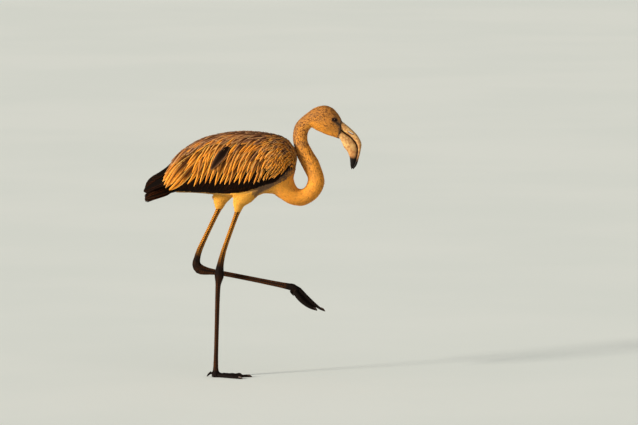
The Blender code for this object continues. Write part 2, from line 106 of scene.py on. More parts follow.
# Ribs of the tail, from its tip.
TAIL_RIBS: Rows = (
    (-178.5, 457.0, -178.5, 438.5, 15.0, 0.0),
    (-168.0, 463.5, -168.0, 441.0, 23.0, 0.0),
    (-150.0, 470.0, -150.0, 447.0, 25.0, 0.0),
    (-125.0, 476.0, -125.0, 458.5, 22.0, 0.0),
    (-99.5, 487.0, -99.5, 464.0, 16.0, 0.0),
    (-85.0, 491.0, -85.0, 469.0, 12.0, 0.0),
)
# Ribs where the neck starts, is parted and ends, and where the head ends.
NECK_ROOT, NECK_MIDDLE, NECK_TOP = 11.0, 17.0, 22.0
HEAD_END = 28.0
# Stations of each thigh: x, y, z, half size fore and aft, and across.
THIGHS: dict[str, Rows] = {
    "right": (
        (83.0, -30.0, 486.0, 37.0, 22.0),
        (69.5, -33.0, 462.0, 29.0, 20.5),
        (60.5, -34.0, 444.0, 19.0, 16.0),
        (57.2, -33.5, 431.0, 12.0, 11.3),
        (55.0, -33.0, 421.0, 8.4, 7.8),
    ),
    "left": (
        (30.0, 30.0, 490.0, 36.0, 22.0),
        (18.0, 33.0, 465.0, 29.6, 20.7),
        (12.0, 34.0, 447.0, 21.4, 16.2),
        (9.5, 33.5, 433.0, 14.0, 11.5),
        (7.5, 33.0, 422.5, 8.4, 7.8),
    ),
}
WING_EDGE = ((-70, -15, 22, 60, 97, 135, 172, 198, 222), (440, 453, 461, 467, 477, 492, 515, 541, 566))
EYE = (297.0, 16.8, 646.5)
EYE_RADIUS = 5.4


class Side(Enum):
    """A side of the bird, with the sign of its Y."""

    RIGHT = -1
    LEFT = 1

    @property
    def word(self) -> str:
        """The side's name in lower case."""
        return self.name.lower()


# ---- curves
def spline(rows: Rows, t: Array) -> Array:
    """Reads a Catmull-Rom curve through rows of numbers.

    Args:
        rows: One row of numbers for each whole value of t.
        t: Where to read, from 0 to the last row.

    Returns:
        One row of numbers for each t.
    """
    points = np.asarray(rows, float)
    t = np.asarray(t, float)
    padded = np.vstack((2 * points[0] - points[1], points, 2 * points[-1] - points[-2]))
    i = np.clip(np.floor(t).astype(int), 0, len(points) - 2)
    f = (t - i)[..., None]
    before, start, end, after = padded[i], padded[i + 1], padded[i + 2], padded[i + 3]
    bend = 2 * before - 5 * start + 4 * end - after
    twist = 3 * (start - end) + after - before
    return 0.5 * (2 * start + (end - before) * f + bend * f**2 + twist * f**3)


def unit(vectors: Array) -> Array:
    """Each vector at length 1."""
    return vectors / np.maximum(np.linalg.norm(vectors, axis=-1, keepdims=True), 1e-12)


def rise(value: Array, low: float, high: float) -> Array:
    """A smooth rise from 0 at low to 1 at high."""
    t = np.clip((value - low) / (high - low), 0.0, 1.0)
    return t * t * (3 - 2 * t)


def flat_on(direction: Array, normal: Array) -> Array:
    """Lays each direction on the surface with that normal, at length 1."""
    return unit(direction - normal * (direction * normal).sum(-1, keepdims=True))


def reached(start: Array, *steps: tuple[Array, Array]) -> Array:
    """Goes from each start some way along directions, each given with how far.

    Args:
        start: Where to start from.
        steps: Directions, each with how far to go along it.

    Returns:
        The places reached.
    """
    for way, far in steps:
        start = start + way * far[..., None]
    return start


def turned(share: Array) -> Array:
    """A turn from -pi to pi for each share from 0 to 1."""
    return (share * 2 - 1) * math.pi


def wing_edge(x: Array) -> Array:
    """The height of the folded wing's lower edge at each x."""
    return np.interp(x, *WING_EDGE)


def crossed(first: Array, second: Array) -> tuple[Array, Array]:
    """Every pair of two rows of numbers, as two flat arrays."""
    one, other = np.meshgrid(first, second)
    return one.ravel(), other.ravel()


def tree_of(points: Array) -> KDTree:
    """A tree that finds the nearest of the points.

    Args:
        points: The points.

    Returns:
        The tree.
    """
    tree = KDTree(len(points))
    for i, point in enumerate(points):
        tree.insert(point, i)
    tree.balance()
    return tree


def nearest_on(points: Array, lines: list[Array]) -> tuple[Array, Array, Array]:
    """Finds each point's nearest place on some bent lines.

    Args:
        points: The points.
        lines: The corners of each line.

    Returns:
        How far along its line the place is, the line's direction there, and the distance to it.
    """
    best = np.full(len(points), np.inf)
    along, way = np.zeros(len(points)), np.zeros((len(points), 3))
    for line in lines:
        start = 0.0
        for a, b in zip(line, line[1:]):
            span = np.linalg.norm(b - a)
            share = np.clip((points - a) @ (b - a) / span**2, 0, 1)
            gap = np.linalg.norm(points - a - share[:, None] * (b - a), axis=1)
            nearer = gap < best
            best[nearer], along[nearer] = gap[nearer], (start + share * span)[nearer]
            way[nearer] = (b - a) / span
            start += span
    return along, way, best


@dataclass(frozen=True)
class Tube:
    """An oval tube over ribs that stand across the middle plane."""

    rows: Rows

    def place(self, t: Array, angle: Array, sink: Number = 0.0) -> Array:
        """Points on the tube.

        Args:
            t: Which rib, and how far on to the next.
            angle: Turn from the dorsal edge, 0, to the ventral one, pi, on the side with +Y.
            sink: Depth under the tube, in millimetres.

        Returns:
            The points in millimetres.
        """
        row = spline(self.rows, t)
        half = (row[..., 0:2] - row[..., 2:4]) / 2
        centre = (row[..., 0:2] + row[..., 2:4]) / 2
        depth = np.linalg.norm(half, axis=-1)
        tall = np.maximum(depth - sink, 0.4 * depth)
        wide = np.maximum(row[..., 4] - sink, 0.4 * row[..., 4])
        reach = half / depth[..., None] * (tall * np.cos(angle))[..., None]
        spot = centre + reach
        return np.stack((spot[..., 0], wide * np.sin(angle), spot[..., 1]), -1)

    def edges(self, t: Array, angle: Array) -> tuple[Array, Array]:
        """How a point moves with t and with the angle.

        Args:
            t: Ribs.
            angle: Turns from the dorsal edge.

        Returns:
            The two directions of travel.
        """
        ahead = (self.place(t + 0.02, angle) - self.place(t - 0.02, angle)) / 0.04
        around = (self.place(t, angle + 0.02) - self.place(t, angle - 0.02)) / 0.04
        return ahead, around

    def find(self, x: Array, z: Array) -> tuple[Array, Array]:
        """The rib and angle, on the side with +Y, of places seen from the side.

        Args:
            x: Along the bird, in millimetres.
            z: Height, in millimetres.

        Returns:
            t and the angle of each place.
        """
        last = len(self.rows) - 1
        grid_t, grid_a = crossed(np.linspace(0, last, 20 * last + 1), np.radians(np.arange(4, 177, 2)))
        seen = self.place(grid_t, grid_a)
        gap = (seen[None, :, 0] - x[:, None]) ** 2 + (seen[None, :, 2] - z[:, None]) ** 2
        nearest = gap.argmin(1)
        t, angle = grid_t[nearest], grid_a[nearest]
        for _ in range(3):
            here = self.place(t, angle)
            ahead, around = self.edges(t, angle)
            miss_x, miss_z = x - here[:, 0], z - here[:, 2]
            det = ahead[:, 0] * around[:, 2] - around[:, 0] * ahead[:, 2]
            det = np.where(np.abs(det) < 60, 60 * np.sign(det + 1e-9), det)
            t = t + np.clip((miss_x * around[:, 2] - miss_z * around[:, 0]) / det, -0.1, 0.1)
            angle = angle + np.clip((miss_z * ahead[:, 0] - miss_x * ahead[:, 2]) / det, -0.05, 0.05)
            t, angle = np.clip(t, 0, last), np.clip(angle, 0.05, math.pi - 0.05)
        return t, angle


@dataclass(frozen=True)
class Limb:
    """An oval limb along a line: x, y, z, half size fore and aft, and across."""

    rows: Rows

    def place(self, t: Array, angle: Array, sink: Number = 0.0) -> Array:
        """Points on the limb, in millimetres.

        Args:
            t: Ribs.
            angle: Turns from the dorsal edge.
            sink: Depth under the surface, in millimetres.

        Returns:
            The points.
        """
        row = spline(self.rows, t)
        ahead = unit(spline(self.rows, t + 0.02)[..., :3] - spline(self.rows, t - 0.02)[..., :3])
        fore = unit(np.cross(np.broadcast_to((0.0, 1.0, 0.0), ahead.shape), ahead))
        across = np.cross(ahead, fore)
        deep, wide = (row[..., 3] - sink) * np.cos(angle), (row[..., 4] - sink) * np.sin(angle)
        return reached(row[..., :3], (fore, deep), (across, wide))


ENVELOPE = Tube(BODY_RIBS)
FLESH = Tube(BODY_RIBS + NECK_RIBS + HEAD_RIBS)
TAIL = Tube(TAIL_RIBS)


# ---- shader nodes
class Val:
    """A socket that carries a number, so that sums on it read as they are written."""

    def __init__(self, shader: "Shader", socket: NodeSocket) -> None:
        """Keeps the socket and the shader it belongs to."""
        self.shader, self.socket = shader, socket

    def _math(self, operation: str, *values: "Val | float") -> "Val":
        """Adds one Math node.

        Args:
            operation: What it does.
            values: Numbers or sockets.

        Returns:
            The result's socket.
        """
        inputs = {i: v.socket if isinstance(v, Val) else float(v) for i, v in enumerate(values)}
        made = self.shader.node("ShaderNodeMath", {"operation": operation}, inputs)
        return Val(self.shader, made.outputs[0])

    def __add__(self, other: "Val | float") -> "Val":
        """self + other"""
        return self._math("ADD", self, other)

    __radd__ = __add__

    def __sub__(self, other: "Val | float") -> "Val":
        """self - other"""
        return self._math("SUBTRACT", self, other)

    def __rsub__(self, other: float) -> "Val":
        """other - self"""
        return self._math("SUBTRACT", other, self)

    def __mul__(self, other: "Val | float") -> "Val":
        """self * other"""
        return self._math("MULTIPLY", self, other)

    def __abs__(self) -> "Val":
        """abs(self)"""
        return self._math("ABSOLUTE", self)

    def wave(self) -> "Val":
        """The number's sine."""
        return self._math("SINE", self)

    def most(self, other: "Val | float") -> "Val":
        """The larger of the two."""
        return self._math("MAXIMUM", self, other)

    def least(self, other: "Val | float") -> "Val":
        """The smaller of the two."""
        return self._math("MINIMUM", self, other)

    def rise(self, low: float, high: float) -> "Val":
        """A smooth rise from 0 where the number is low to 1 where it is high.

        Args:
            low: Where the rise starts.
            high: Where it ends.

        Returns:
            The result's socket.
        """
        inputs = {"Value": self.socket, "From Min": low, "From Max": high}
        made = self.shader.node("ShaderNodeMapRange", {"interpolation_type": "SMOOTHSTEP"}, inputs)
        return Val(self.shader, made.outputs["Result"])


Tint = Triple | NodeSocket


class Shader:
    """The nodes of one material."""

    def __init__(self, name: str) -> None:
        """Makes the material with its Principled shader.

        Args:
            name: The material's name.
        """
        self.material = bpy.data.materials.new(name)
        self.material.use_nodes = True
        self.tree = self.material.node_tree
        self.base = self.tree.nodes["Principled BSDF"]

    def node(self, kind: str, settings: dict, inputs: dict) -> Node:
        """Adds a node.

        Args:
            kind: The node's type.
            settings: Its properties, set first.
            inputs: A value or a link for each of its sockets.

        Returns:
            The node.
        """
        made = self.tree.nodes.new(kind)
        for key, value in settings.items():
            setattr(made, key, value)
        for key, value in inputs.items():
            if isinstance(value, NodeSocket):
                self.tree.links.new(value, made.inputs[key])
            else:
                made.inputs[key].default_value = value
        return made

    def place(self) -> NodeSocket:
        """Object coordinates."""
        return self.node("ShaderNodeTexCoord", {}, {}).outputs["Object"]

    def vector(self, name: str) -> NodeSocket:
        """A vector kept on the mesh."""
        return self.node("ShaderNodeAttribute", {"attribute_name": name}, {}).outputs["Vector"]

    def parts(self, vector: NodeSocket) -> tuple[Val, Val, Val]:
        """The three numbers of a vector."""
        made = self.node("ShaderNodeSeparateXYZ", {}, {0: vector})
        return tuple(Val(self, socket) for socket in made.outputs)

    def joined(self, x: Val, y: Val, z: Val) -> NodeSocket:
        """A vector of three numbers."""
        return self.node("ShaderNodeCombineXYZ", {}, {0: x.socket, 1: y.socket, 2: z.socket}).outputs[0]

    def noise(self, vector: NodeSocket, scale: float, detail: float = 2.0) -> Val:
        """Soft noise, mostly from 0.3 to 0.7."""
        made = self.node("ShaderNodeTexNoise", {}, {"Vector": vector, "Scale": scale, "Detail": detail})
        return Val(self, made.outputs[0])

    def cells(self, vector: NodeSocket, scale: float, feature: str = "F1") -> Val:
        """The distance to the nearest of scattered points, or to the edge between them."""
        made = self.node("ShaderNodeTexVoronoi", {"feature": feature}, {"Vector": vector, "Scale": scale})
        return Val(self, made.outputs["Distance"])

    def mix(self, amount: Val, first: Tint, second: Tint) -> NodeSocket:
        """A colour between two.

        Args:
            amount: 0 for the first, 1 for the second.
            first: A colour or its socket.
            second: A colour or its socket.

        Returns:
            The mixed colour's socket.
        """
        made = self.node("ShaderNodeMix", {"data_type": "RGBA"}, {0: amount.socket})
        for key, colour in ((6, first), (7, second)):
            if isinstance(colour, NodeSocket):
                self.tree.links.new(colour, made.inputs[key])
            else:
                made.inputs[key].default_value = (*colour, 1.0)
        return made.outputs[2]

    def dimmed(self, colour: NodeSocket, amount: Val) -> NodeSocket:
        """A colour times a number."""
        inputs = {0: colour, "Scale": amount.socket}
        return self.node("ShaderNodeVectorMath", {"operation": "SCALE"}, inputs).outputs[0]

    def finish(
        self, colour: NodeSocket, roughness: Val | float, height: Val | None = None,
        depth: float = 0.0003, specular: float = 0.5,
    ) -> Material:
        """Links the colour, roughness and bump, and sets what is the same all over.

        Args:
            colour: The base colour.
            roughness: A number or its socket.
            height: The bump's height, from 0 to 1.
            depth: What a height of 1 stands for, in metres.
            specular: How strongly it reflects, with 0.5 as the shader's own value.

        Returns:
            The material.
        """
        self.tree.links.new(colour, self.base.inputs["Base Color"])
        if isinstance(roughness, Val):
            self.tree.links.new(roughness.socket, self.base.inputs["Roughness"])
        else:
            self.base.inputs["Roughness"].default_value = roughness
        if height is not None:
            bump = self.node("ShaderNodeBump", {}, {"Height": height.socket, "Distance": depth})
            self.tree.links.new(bump.outputs[0], self.base.inputs["Normal"])
        self.base.inputs["Specular IOR Level"].default_value = specular
        return self.material


# ---- finishes
def srgb(red: float, green: float, blue: float) -> Triple:
    """A screen colour, from 0 to 255, as the shader's linear one."""
    shares = (value / 255 for value in (red, green, blue))
    return tuple(((c + 0.055) / 1.055) ** 2.4 if c > 0.04 else c / 12.92 for c in shares)


@dataclass(frozen=True)
class PlumageFinish:
    """Short body feathers and their skin. The mesh says how warm, speckled and shaded each place is; the grey
    and dark shading is partly real marks and partly painted shade along and under the folded wings.
    """

    buff: Triple = srgb(192, 126, 58)
    orange: Triple = srgb(230, 150, 48)
    yellow: Triple = srgb(228, 168, 62)
    fleck: Triple = srgb(88, 46, 18)
    # grey is real grey mottling and marks, and painted shade below the folded wing's edge; night is dark bare
    # skin round eye and gape, and painted shade under the folded wings.
    grey: Triple = srgb(112, 82, 58)
    night: Triple = srgb(30, 16, 10)

    def material(self, name: str, tufts: bool) -> Material:
        """Builds the material.

        Args:
            name: The material's name.
            tufts: Whether it dresses tufts, each of which keeps one tone.

        Returns:
            The material.
        """
        s = Shader(name)
        root = s.vector("root")
        warmth, speckle, shade = s.parts(s.vector("marking"))
        broad = s.noise(root, 38.0)
        body = s.mix(warmth.rise(0.0, 0.6), self.buff, self.orange)
        body = s.mix(warmth.rise(0.55, 1.0), body, self.yellow)
        body = s.mix((broad - 0.45).rise(0.0, 0.3) * 0.4 * (1 - warmth), body, self.buff)
        mottle = s.noise(root, 330.0, 1.0)
        dark = (mottle + (speckle - 1.0) * 0.16).rise(0.53, 0.6) * speckle.least(1.0)
        body = s.mix(dark * 0.9, body, self.fleck)
        body = s.mix((s.noise(root, 90.0) - 0.45).rise(0.0, 0.2) * speckle.least(1.0) * 0.35, body, self.grey)
        # Grey up to a shade of 1, then dark from 1 to 1.8: partly real marks, partly painted shade along and
        # under the folded wings.
        body = s.mix(shade.least(1.0), body, self.grey)
        body = s.mix(shade.rise(1.0, 1.8), body, self.night)
        fine = s.noise(root, 900.0, 1.0)
        body = s.dimmed(body, 0.84 + fine * 0.32)
        if tufts:
            along, across, _ = s.parts(s.vector("vane"))
            body = s.dimmed(body, 0.8 + along * 0.28)
            barbs = (across * 22.0).wave() * 0.5 + 0.5
            return s.finish(body, 0.8, barbs, 0.00003, 0.25)
        return s.finish(body, 0.9, s.noise(s.place(), 1400.0), 0.0002, 0.08)


@dataclass(frozen=True)
class VaneFinish:
    """Feathers of the folded wing, back and tail: brown, with a dark stripe along the shaft and a pale
    fringe, and darker towards the root, partly as painted shade under the overlapping feathers.
    """

    brown: Triple = srgb(126, 82, 54)
    warm: Triple = srgb(255, 154, 44)
    ash: Triple = srgb(214, 164, 118)
    pale: Triple = srgb(255, 204, 104)
    # Dark of the shaft stripe and web mottling, and painted shade towards the root.
    streak_and_painted_shade: Triple = srgb(32, 13, 5)
    flight: Triple = srgb(9, 4, 2)
    rust: Triple = srgb(112, 50, 15)

    def material(self, name: str) -> Material:
        """Builds the material.

        Args:
            name: The material's name.

        Returns:
            The material.
        """
        s = Shader(name)
        along, across, rim = s.parts(s.vector("vane"))
        tone, dark, fringe = s.parts(s.vector("mark"))
        length, half, chance = s.parts(s.vector("span"))
        drift = s.noise(s.place(), 260.0, 3.0)
        body = s.mix(tone.rise(0.0, 1.0), self.brown, self.warm)
        # Darker towards the root: partly the feathers' own dark bases, partly painted shade under the
        # overlapping feathers.
        body = s.mix((1 - along.rise(0.32, 0.88)) * 0.88, body, self.streak_and_painted_shade)
        web = s.noise(s.joined(along * length * 18.0, across * half * 6.0, chance * 40.0), 1.0)
        body = s.mix((web - 0.46).rise(0.0, 0.22) * 0.4, body, self.streak_and_painted_shade)
        wide = 0.14 + chance * 0.22
        shaft = 1 - (abs(across + (web - 0.5) * 0.2) - wide).rise(-0.08, 0.22)
        body = s.mix(shaft * (0.8 - along.rise(0.75, 1.0) * 0.5), body, self.streak_and_painted_shade)
        edge = (rim + (web - 0.5) * 0.6 + (chance - 0.5) * 0.2).rise(0.62, 1.0) * fringe
        body = s.mix(edge, body, s.mix(tone, self.ash, self.pale))
        night = s.mix((rim + (web - 0.5) * 0.4).rise(0.8, 1.05) * fringe, self.flight, self.rust)
        body = s.mix(dark, body, night)
        barbs = ((along * length - abs(across) * half * 0.14) * 720.0).wave() * 0.5 + 0.5
        body = s.dimmed(body, 0.88 + barbs * 0.06 + drift * 0.12)
        ridge = 1 - abs(across).rise(0.0, 0.08)
        return s.finish(body, 0.68 + drift * 0.12, barbs * 0.3 + ridge * 0.7, 0.00012, 0.04)


@dataclass(frozen=True)
class BillFinish:
    """Horn of the bill: pale buff, dark along the gape and black at its tip."""

    pale: Triple = srgb(222, 178, 112)
    pink: Triple = srgb(176, 122, 72)
    line: Triple = srgb(48, 26, 14)
    ember: Triple = srgb(150, 78, 30)
    black: Triple = srgb(16, 8, 5)

    def material(self, name: str, tip: float) -> Material:
        """Builds the material.

        Args:
            name: The material's name.
            tip: The share of the length where the black starts.

        Returns:
            The material.
        """
        s = Shader(name)
        along, gape, high = s.parts(s.vector("bill"))
        drift = s.noise(s.place(), 160.0, 4.0)
        grain = s.noise(s.joined(along * 0.6, high * 0.3, gape * 0.3), 30.0, 4.0)
        body = s.mix((drift - 0.35).rise(0.0, 0.35), self.pink, self.pale)
        body = s.mix((1 - along.rise(0.0, 0.22)) * 0.45, body, self.pink)
        body = s.mix((1 - (along + (drift - 0.5) * 0.12).rise(0.03, 0.15)) * 0.7, body, self.line)
        body = s.mix((high + (drift - 0.5) * 0.3).rise(0.82, 1.0) * 0.5, body, self.line)
        body = s.mix((along + (drift - 0.5) * 0.2).rise(tip - 0.3, tip) * 0.45, body, self.ember)
        specks = 1 - (s.cells(s.place(), 420.0) + (grain - 0.5) * 0.6).rise(0.1, 0.3)
        body = s.mix(specks * 0.3, body, self.line)
        body = s.mix(((grain - 0.52).rise(0.0, 0.16)) * 0.3, body, self.line)
        body = s.mix((1 - (gape + (drift - 0.5) * 0.5).rise(0.3, 0.7)) * 0.9, body, self.line)
        body = s.mix((along + (drift - 0.5) * 0.09).rise(tip - 0.05, tip + 0.04), body, self.black)
        return s.finish(body, 0.34 + grain * 0.22, grain * 0.6 + drift * 0.4, 0.0003, 0.16)


@dataclass(frozen=True)
class LegFinish:
    """Scaled skin of the legs: warm brown plates, dark on the joints and on the feet, and dark in the seams,
    partly as painted shade in the grooves.
    """

    plate: Triple = srgb(216, 138, 40)
    shin: Triple = srgb(76, 41, 14)
    # Seam colour: partly dark skin, partly painted shade in the grooves.
    seam: Triple = srgb(24, 12, 6)
    joint: Triple = srgb(15, 7, 4)
    foot: Triple = srgb(15, 8, 5)

    def material(self, name: str) -> Material:
        """Builds the material.

        Args:
            name: The material's name.

        Returns:
            The material.
        """
        s = Shader(name)
        joint, foot, seam = s.parts(s.vector("scale"))
        place = s.place()
        _, _, height = s.parts(place)
        drift = s.noise(place, 90.0, 4.0)
        pebble = s.cells(place, 620.0, "DISTANCE_TO_EDGE").rise(0.0, 0.16)
        body = s.mix(height.rise(0.27, 0.34), self.shin, self.plate)
        body = s.mix((drift - 0.4).rise(0.0, 0.3) * 0.4, body, self.joint)
        body = s.mix((joint * 1.1).least(1.0) * (0.75 + drift * 0.4), body, self.joint)
        body = s.mix(foot, body, self.foot)
        # Dark seams between the plates, and round the small scales of feet and joints: partly dark skin,
        # partly painted shade in the grooves.
        body = s.mix(seam.rise(0.2, 0.8).most((1 - pebble) * 0.5 * (foot.most(joint))), body, self.seam)
        return s.finish(body, 0.46 + drift * 0.25, pebble * 0.5 + (1 - seam) * 0.5, 0.00035, 0.06)


@dataclass(frozen=True)
class HornFinish:
    """Claws: dark horn, paler and rubbed at the tip."""

    root: Triple = srgb(34, 22, 17)
    worn: Triple = srgb(96, 66, 46)

    def material(self, name: str) -> Material:
        """Builds the material.

        Args:
            name: The material's name.

        Returns:
            The material.
        """
        s = Shader(name)
        grain = s.noise(s.place(), 700.0, 4.0)
        return s.finish(s.mix(grain.rise(0.4, 0.75), self.root, self.worn), 0.35 + grain * 0.2, grain, 0.0002)


@dataclass(frozen=True)
class EyeFinish:
    """A dark brown eye under a clear, wet surface, with a black pupil."""

    iris: Triple = srgb(42, 20, 9)
    ring: Triple = srgb(16, 8, 5)
    pupil: Triple = (0.002, 0.002, 0.002)

    def material(self, name: str) -> Material:
        """Builds the material.

        Args:
            name: The material's name.

        Returns:
            The material.
        """
        s = Shader(name)
        out, turn, _ = s.parts(s.vector("gaze"))
        rays = s.noise(s.joined(turn * 4.0, out * 0.5, out * 0.0), 3.0, 4.0)
        body = s.mix(rays.rise(0.3, 0.7), self.ring, self.iris)
        body = s.mix(out.rise(0.55, 0.8), body, self.ring)
        body = s.mix(1 - out.rise(0.26, 0.3), body, self.pupil)
        return s.finish(body, 0.08 + rays * 0.04, specular=0.07)


@dataclass(frozen=True)
class LidFinish:
    """Bare skin of the eyelids."""

    skin: Triple = srgb(80, 48, 28)
    fold: Triple = srgb(22, 12, 8)

    def material(self, name: str) -> Material:
        """Builds the material.

        Args:
            name: The material's name.

        Returns:
            The material.
        """
        s = Shader(name)
        wrinkle = s.noise(s.place(), 1500.0, 3.0)
        body = s.mix(wrinkle.rise(0.35, 0.65), self.fold, self.skin)
        return s.finish(body, 0.6 + wrinkle * 0.1, wrinkle, 0.0002, 0.15)


@dataclass(frozen=True)
class FloorFinish:
    """A plain pale studio floor."""

    light: Triple = srgb(236, 241, 237)
    soft: Triple = srgb(232, 238, 234)

    def material(self, name: str) -> Material:
        """Builds the material.

        Args:
            name: The material's name.

        Returns:
            The material.
        """
        s = Shader(name)
        cloud = s.noise(s.place(), 0.8, 3.0)
        return s.finish(s.mix(cloud.rise(0.35, 0.65), self.soft, self.light), 0.8)


# ---- meshes
def sheet(place: Placer, along: int, around: int) -> bmesh.types.BMesh:
    """A closed tube or ring from a grid whose points a function places.

    Args:
        place: Takes two arrays of shares from 0 to 1, and gives the points in millimetres.
        along: Steps along it.
        around: Steps round it.

    Returns:
        The mesh, in metres.
    """
    shape = bmesh.new()
    bmesh.ops.create_grid(shape, x_segments=along, y_segments=around, size=1.0)
    shares = np.array([v.co[:2] for v in shape.verts]) / 2 + 0.5
    for vert, point in zip(shape.verts, place(shares[:, 0], shares[:, 1]) * MM):
        vert.co = point
    bmesh.ops.remove_doubles(shape, verts=shape.verts, dist=1e-7)
    bmesh.ops.holes_fill(shape, edges=shape.edges, sides=0)
    bmesh.ops.recalc_face_normals(shape, faces=shape.faces)
    return shape


def settled(name: str, shape: bmesh.types.BMesh) -> Object:
    """Turns a bmesh into a smooth object at the origin.

    Args:
        name: The object's name.
        shape: The mesh, which is freed.

    Returns:
        The object.
    """
    mesh = bpy.data.meshes.new(name)
    shape.to_mesh(mesh)
    shape.free()
    mesh.shade_smooth()
    made = bpy.data.objects.new(name, mesh)
    bpy.context.scene.collection.objects.link(made)
    return made


def applied(thing: Object) -> Object:
    """Makes an object's modifiers part of its mesh.

    Args:
        thing: The object.

    Returns:
        The same object.
    """
    depsgraph = bpy.context.evaluated_depsgraph_get()
    mesh = bpy.data.meshes.new_from_object(thing.evaluated_get(depsgraph))
    thing.modifiers.clear()
    thing.data = mesh
    return thing


def points_of(mesh: Mesh) -> Array:
    """The mesh's points, in millimetres.

    Args:
        mesh: The mesh.

    Returns:
        One row for each point.
    """
    flat = np.empty(len(mesh.vertices) * 3)
    mesh.vertices.foreach_get("co", flat)
    return flat.reshape(-1, 3) / MM


def normals_of(mesh: Mesh) -> Array:
    """The mesh's normals at its points.

    Args:
        mesh: The mesh.

    Returns:
        One row for each point.
    """
    flat = np.empty(len(mesh.vertices) * 3)
    mesh.vertices.foreach_get("normal", flat)
    return flat.reshape(-1, 3)


def move_points(mesh: Mesh, points: Array) -> None:
    """Puts the mesh's points there, given in millimetres."""
    mesh.vertices.foreach_set("co", (points * MM).ravel())
    mesh.update()


def keep(mesh: Mesh, name: str, values: Array) -> None:
    """Keeps a vector for each of the mesh's points."""
    kept = mesh.attributes.new(name, "FLOAT_VECTOR", "POINT")
    kept.data.foreach_set("vector", values.astype(np.float32).ravel())


def bake_map(mesh: Mesh, spots: Array) -> None:
    """Gives the mesh the map that the materials are baked on, from one spot for each point.

    Args:
        mesh: The mesh.
        spots: One spot for each point.
    """
    corners = np.empty(len(mesh.loops), np.int32)
    mesh.loops.foreach_get("vertex_index", corners)
    mesh.uv_layers.new(name=BAKE_MAP).data.foreach_set("uv", spots[corners].astype(np.float32).ravel())


def smoothed(thing: Object, times: int) -> Object:
    """Relaxes the object's points a few times.

    Args:
        thing: The object.
        times: How often.

    Returns:
        The same object.
    """
    shape = bmesh.new()
    shape.from_mesh(thing.data)
    for _ in range(times):
        axes = {f"use_axis_{axis}": True for axis in "xyz"}
        bmesh.ops.smooth_vert(shape, verts=shape.verts, factor=0.5, **axes)
    shape.to_mesh(thing.data)
    shape.free()
    thing.data.shade_smooth()
    return thing


def united(name: str, things: list[Object], voxel: float) -> Object:
    """Joins overlapping closed objects into one even surface.

    Args:
        name: The new object's name.
        things: The objects, which are removed.
        voxel: The size of its faces, in millimetres.

    Returns:
        The object.
    """
    shape = bmesh.new()
    for thing in things:
        shape.from_mesh(thing.data)
        bpy.data.objects.remove(thing)
    made = settled(name, shape)
    remesh = made.modifiers.new("even", "REMESH")
    remesh.mode, remesh.voxel_size, remesh.use_smooth_shade = "VOXEL", voxel * MM, True
    return applied(made)


def copied(node: str) -> Object:
    """A merged copy of one of the frame's solids.

    Args:
        node: The solid's name.

    Returns:
        The copy.
    """
    shape = bmesh.new()
    shape.from_mesh(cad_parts[node].data)
    bmesh.ops.remove_doubles(shape, verts=shape.verts, dist=1e-6)
    return settled(f"copy_{node}", shape)


def show(piece: Object, material: Material, nodes: Names = ()) -> None:
    """Dresses a finished piece, sets it on the frame and reports it.

    Args:
        piece: The piece.
        material: Its finish.
        nodes: The solids it stands for.
    """
    piece.data.materials.clear()
    piece.data.materials.append(material)
    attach(piece, BODY)
    if nodes:
        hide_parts(*nodes)
    faces = sum(len(p.vertices) - 2 for p in piece.data.polygons)
    LOG.info("%-22s %7d triangles", piece.name, faces)


# ---- the lie of the coat
def wing_share(points: Array, t: Array, angle: Array) -> Array:
    """How far each place is under the folded wing, from 0 on the breast and belly to 1.

    Args:
        points: The places, in millimetres.
        t: Their ribs.
        angle: Their turns from the dorsal edge.

    Returns:
        A number for each place.
    """
    x, z = points[..., 0], points[..., 2]
    above = rise(z - wing_edge(x), -2.0, 3.0) * (1 - rise(t, NECK_ROOT - 0.4, NECK_ROOT + 0.1))
    vent = rise(-np.cos(angle), 0.90, 0.95) * (1 - rise(x, 15.0, 35.0)) * rise(x, -104, -92)
    return above * (1 - vent)


@dataclass(frozen=True)
class CoatSizes:
    """Sizes of the short feathers along the flesh, from the wing tips to the bill, in millimetres."""

    at: tuple[float, ...] = (0.0, 9.0, 12.0, 15.0, 20.0, 23.0, 26.0, 28.0)
    depth: tuple[float, ...] = (2.4, 2.4, 1.9, 1.5, 1.3, 1.0, 0.75, 0.5)
    spacing: tuple[float, ...] = (2.7, 2.6, 2.1, 1.8, 1.6, 1.35, 1.15, 1.0)
    length: tuple[float, ...] = (17.0, 15.0, 11.0, 9.0, 7.6, 5.8, 4.2, 2.4)
    width: tuple[float, ...] = (4.8, 4.4, 3.4, 2.8, 2.4, 1.95, 1.5, 1.2)
    thigh: tuple[float, ...] = (1.6, 2.1, 10.0, 3.1)
    wing_depth: float = 4.2

    def read(self, t: Array, thigh: Array | bool = False) -> tuple[Array, ...]:
        """Depth, spacing, length and width at each place.

        Args:
            t: Its rib.
            thigh: Whether it is on a thigh.

        Returns:
            Four arrays.
        """
        rows = (self.depth, self.spacing, self.length, self.width)
        return tuple(np.where(thigh, flat, np.interp(t, self.at, row)) for row, flat in zip(rows, self.thigh))


SIZES = CoatSizes()


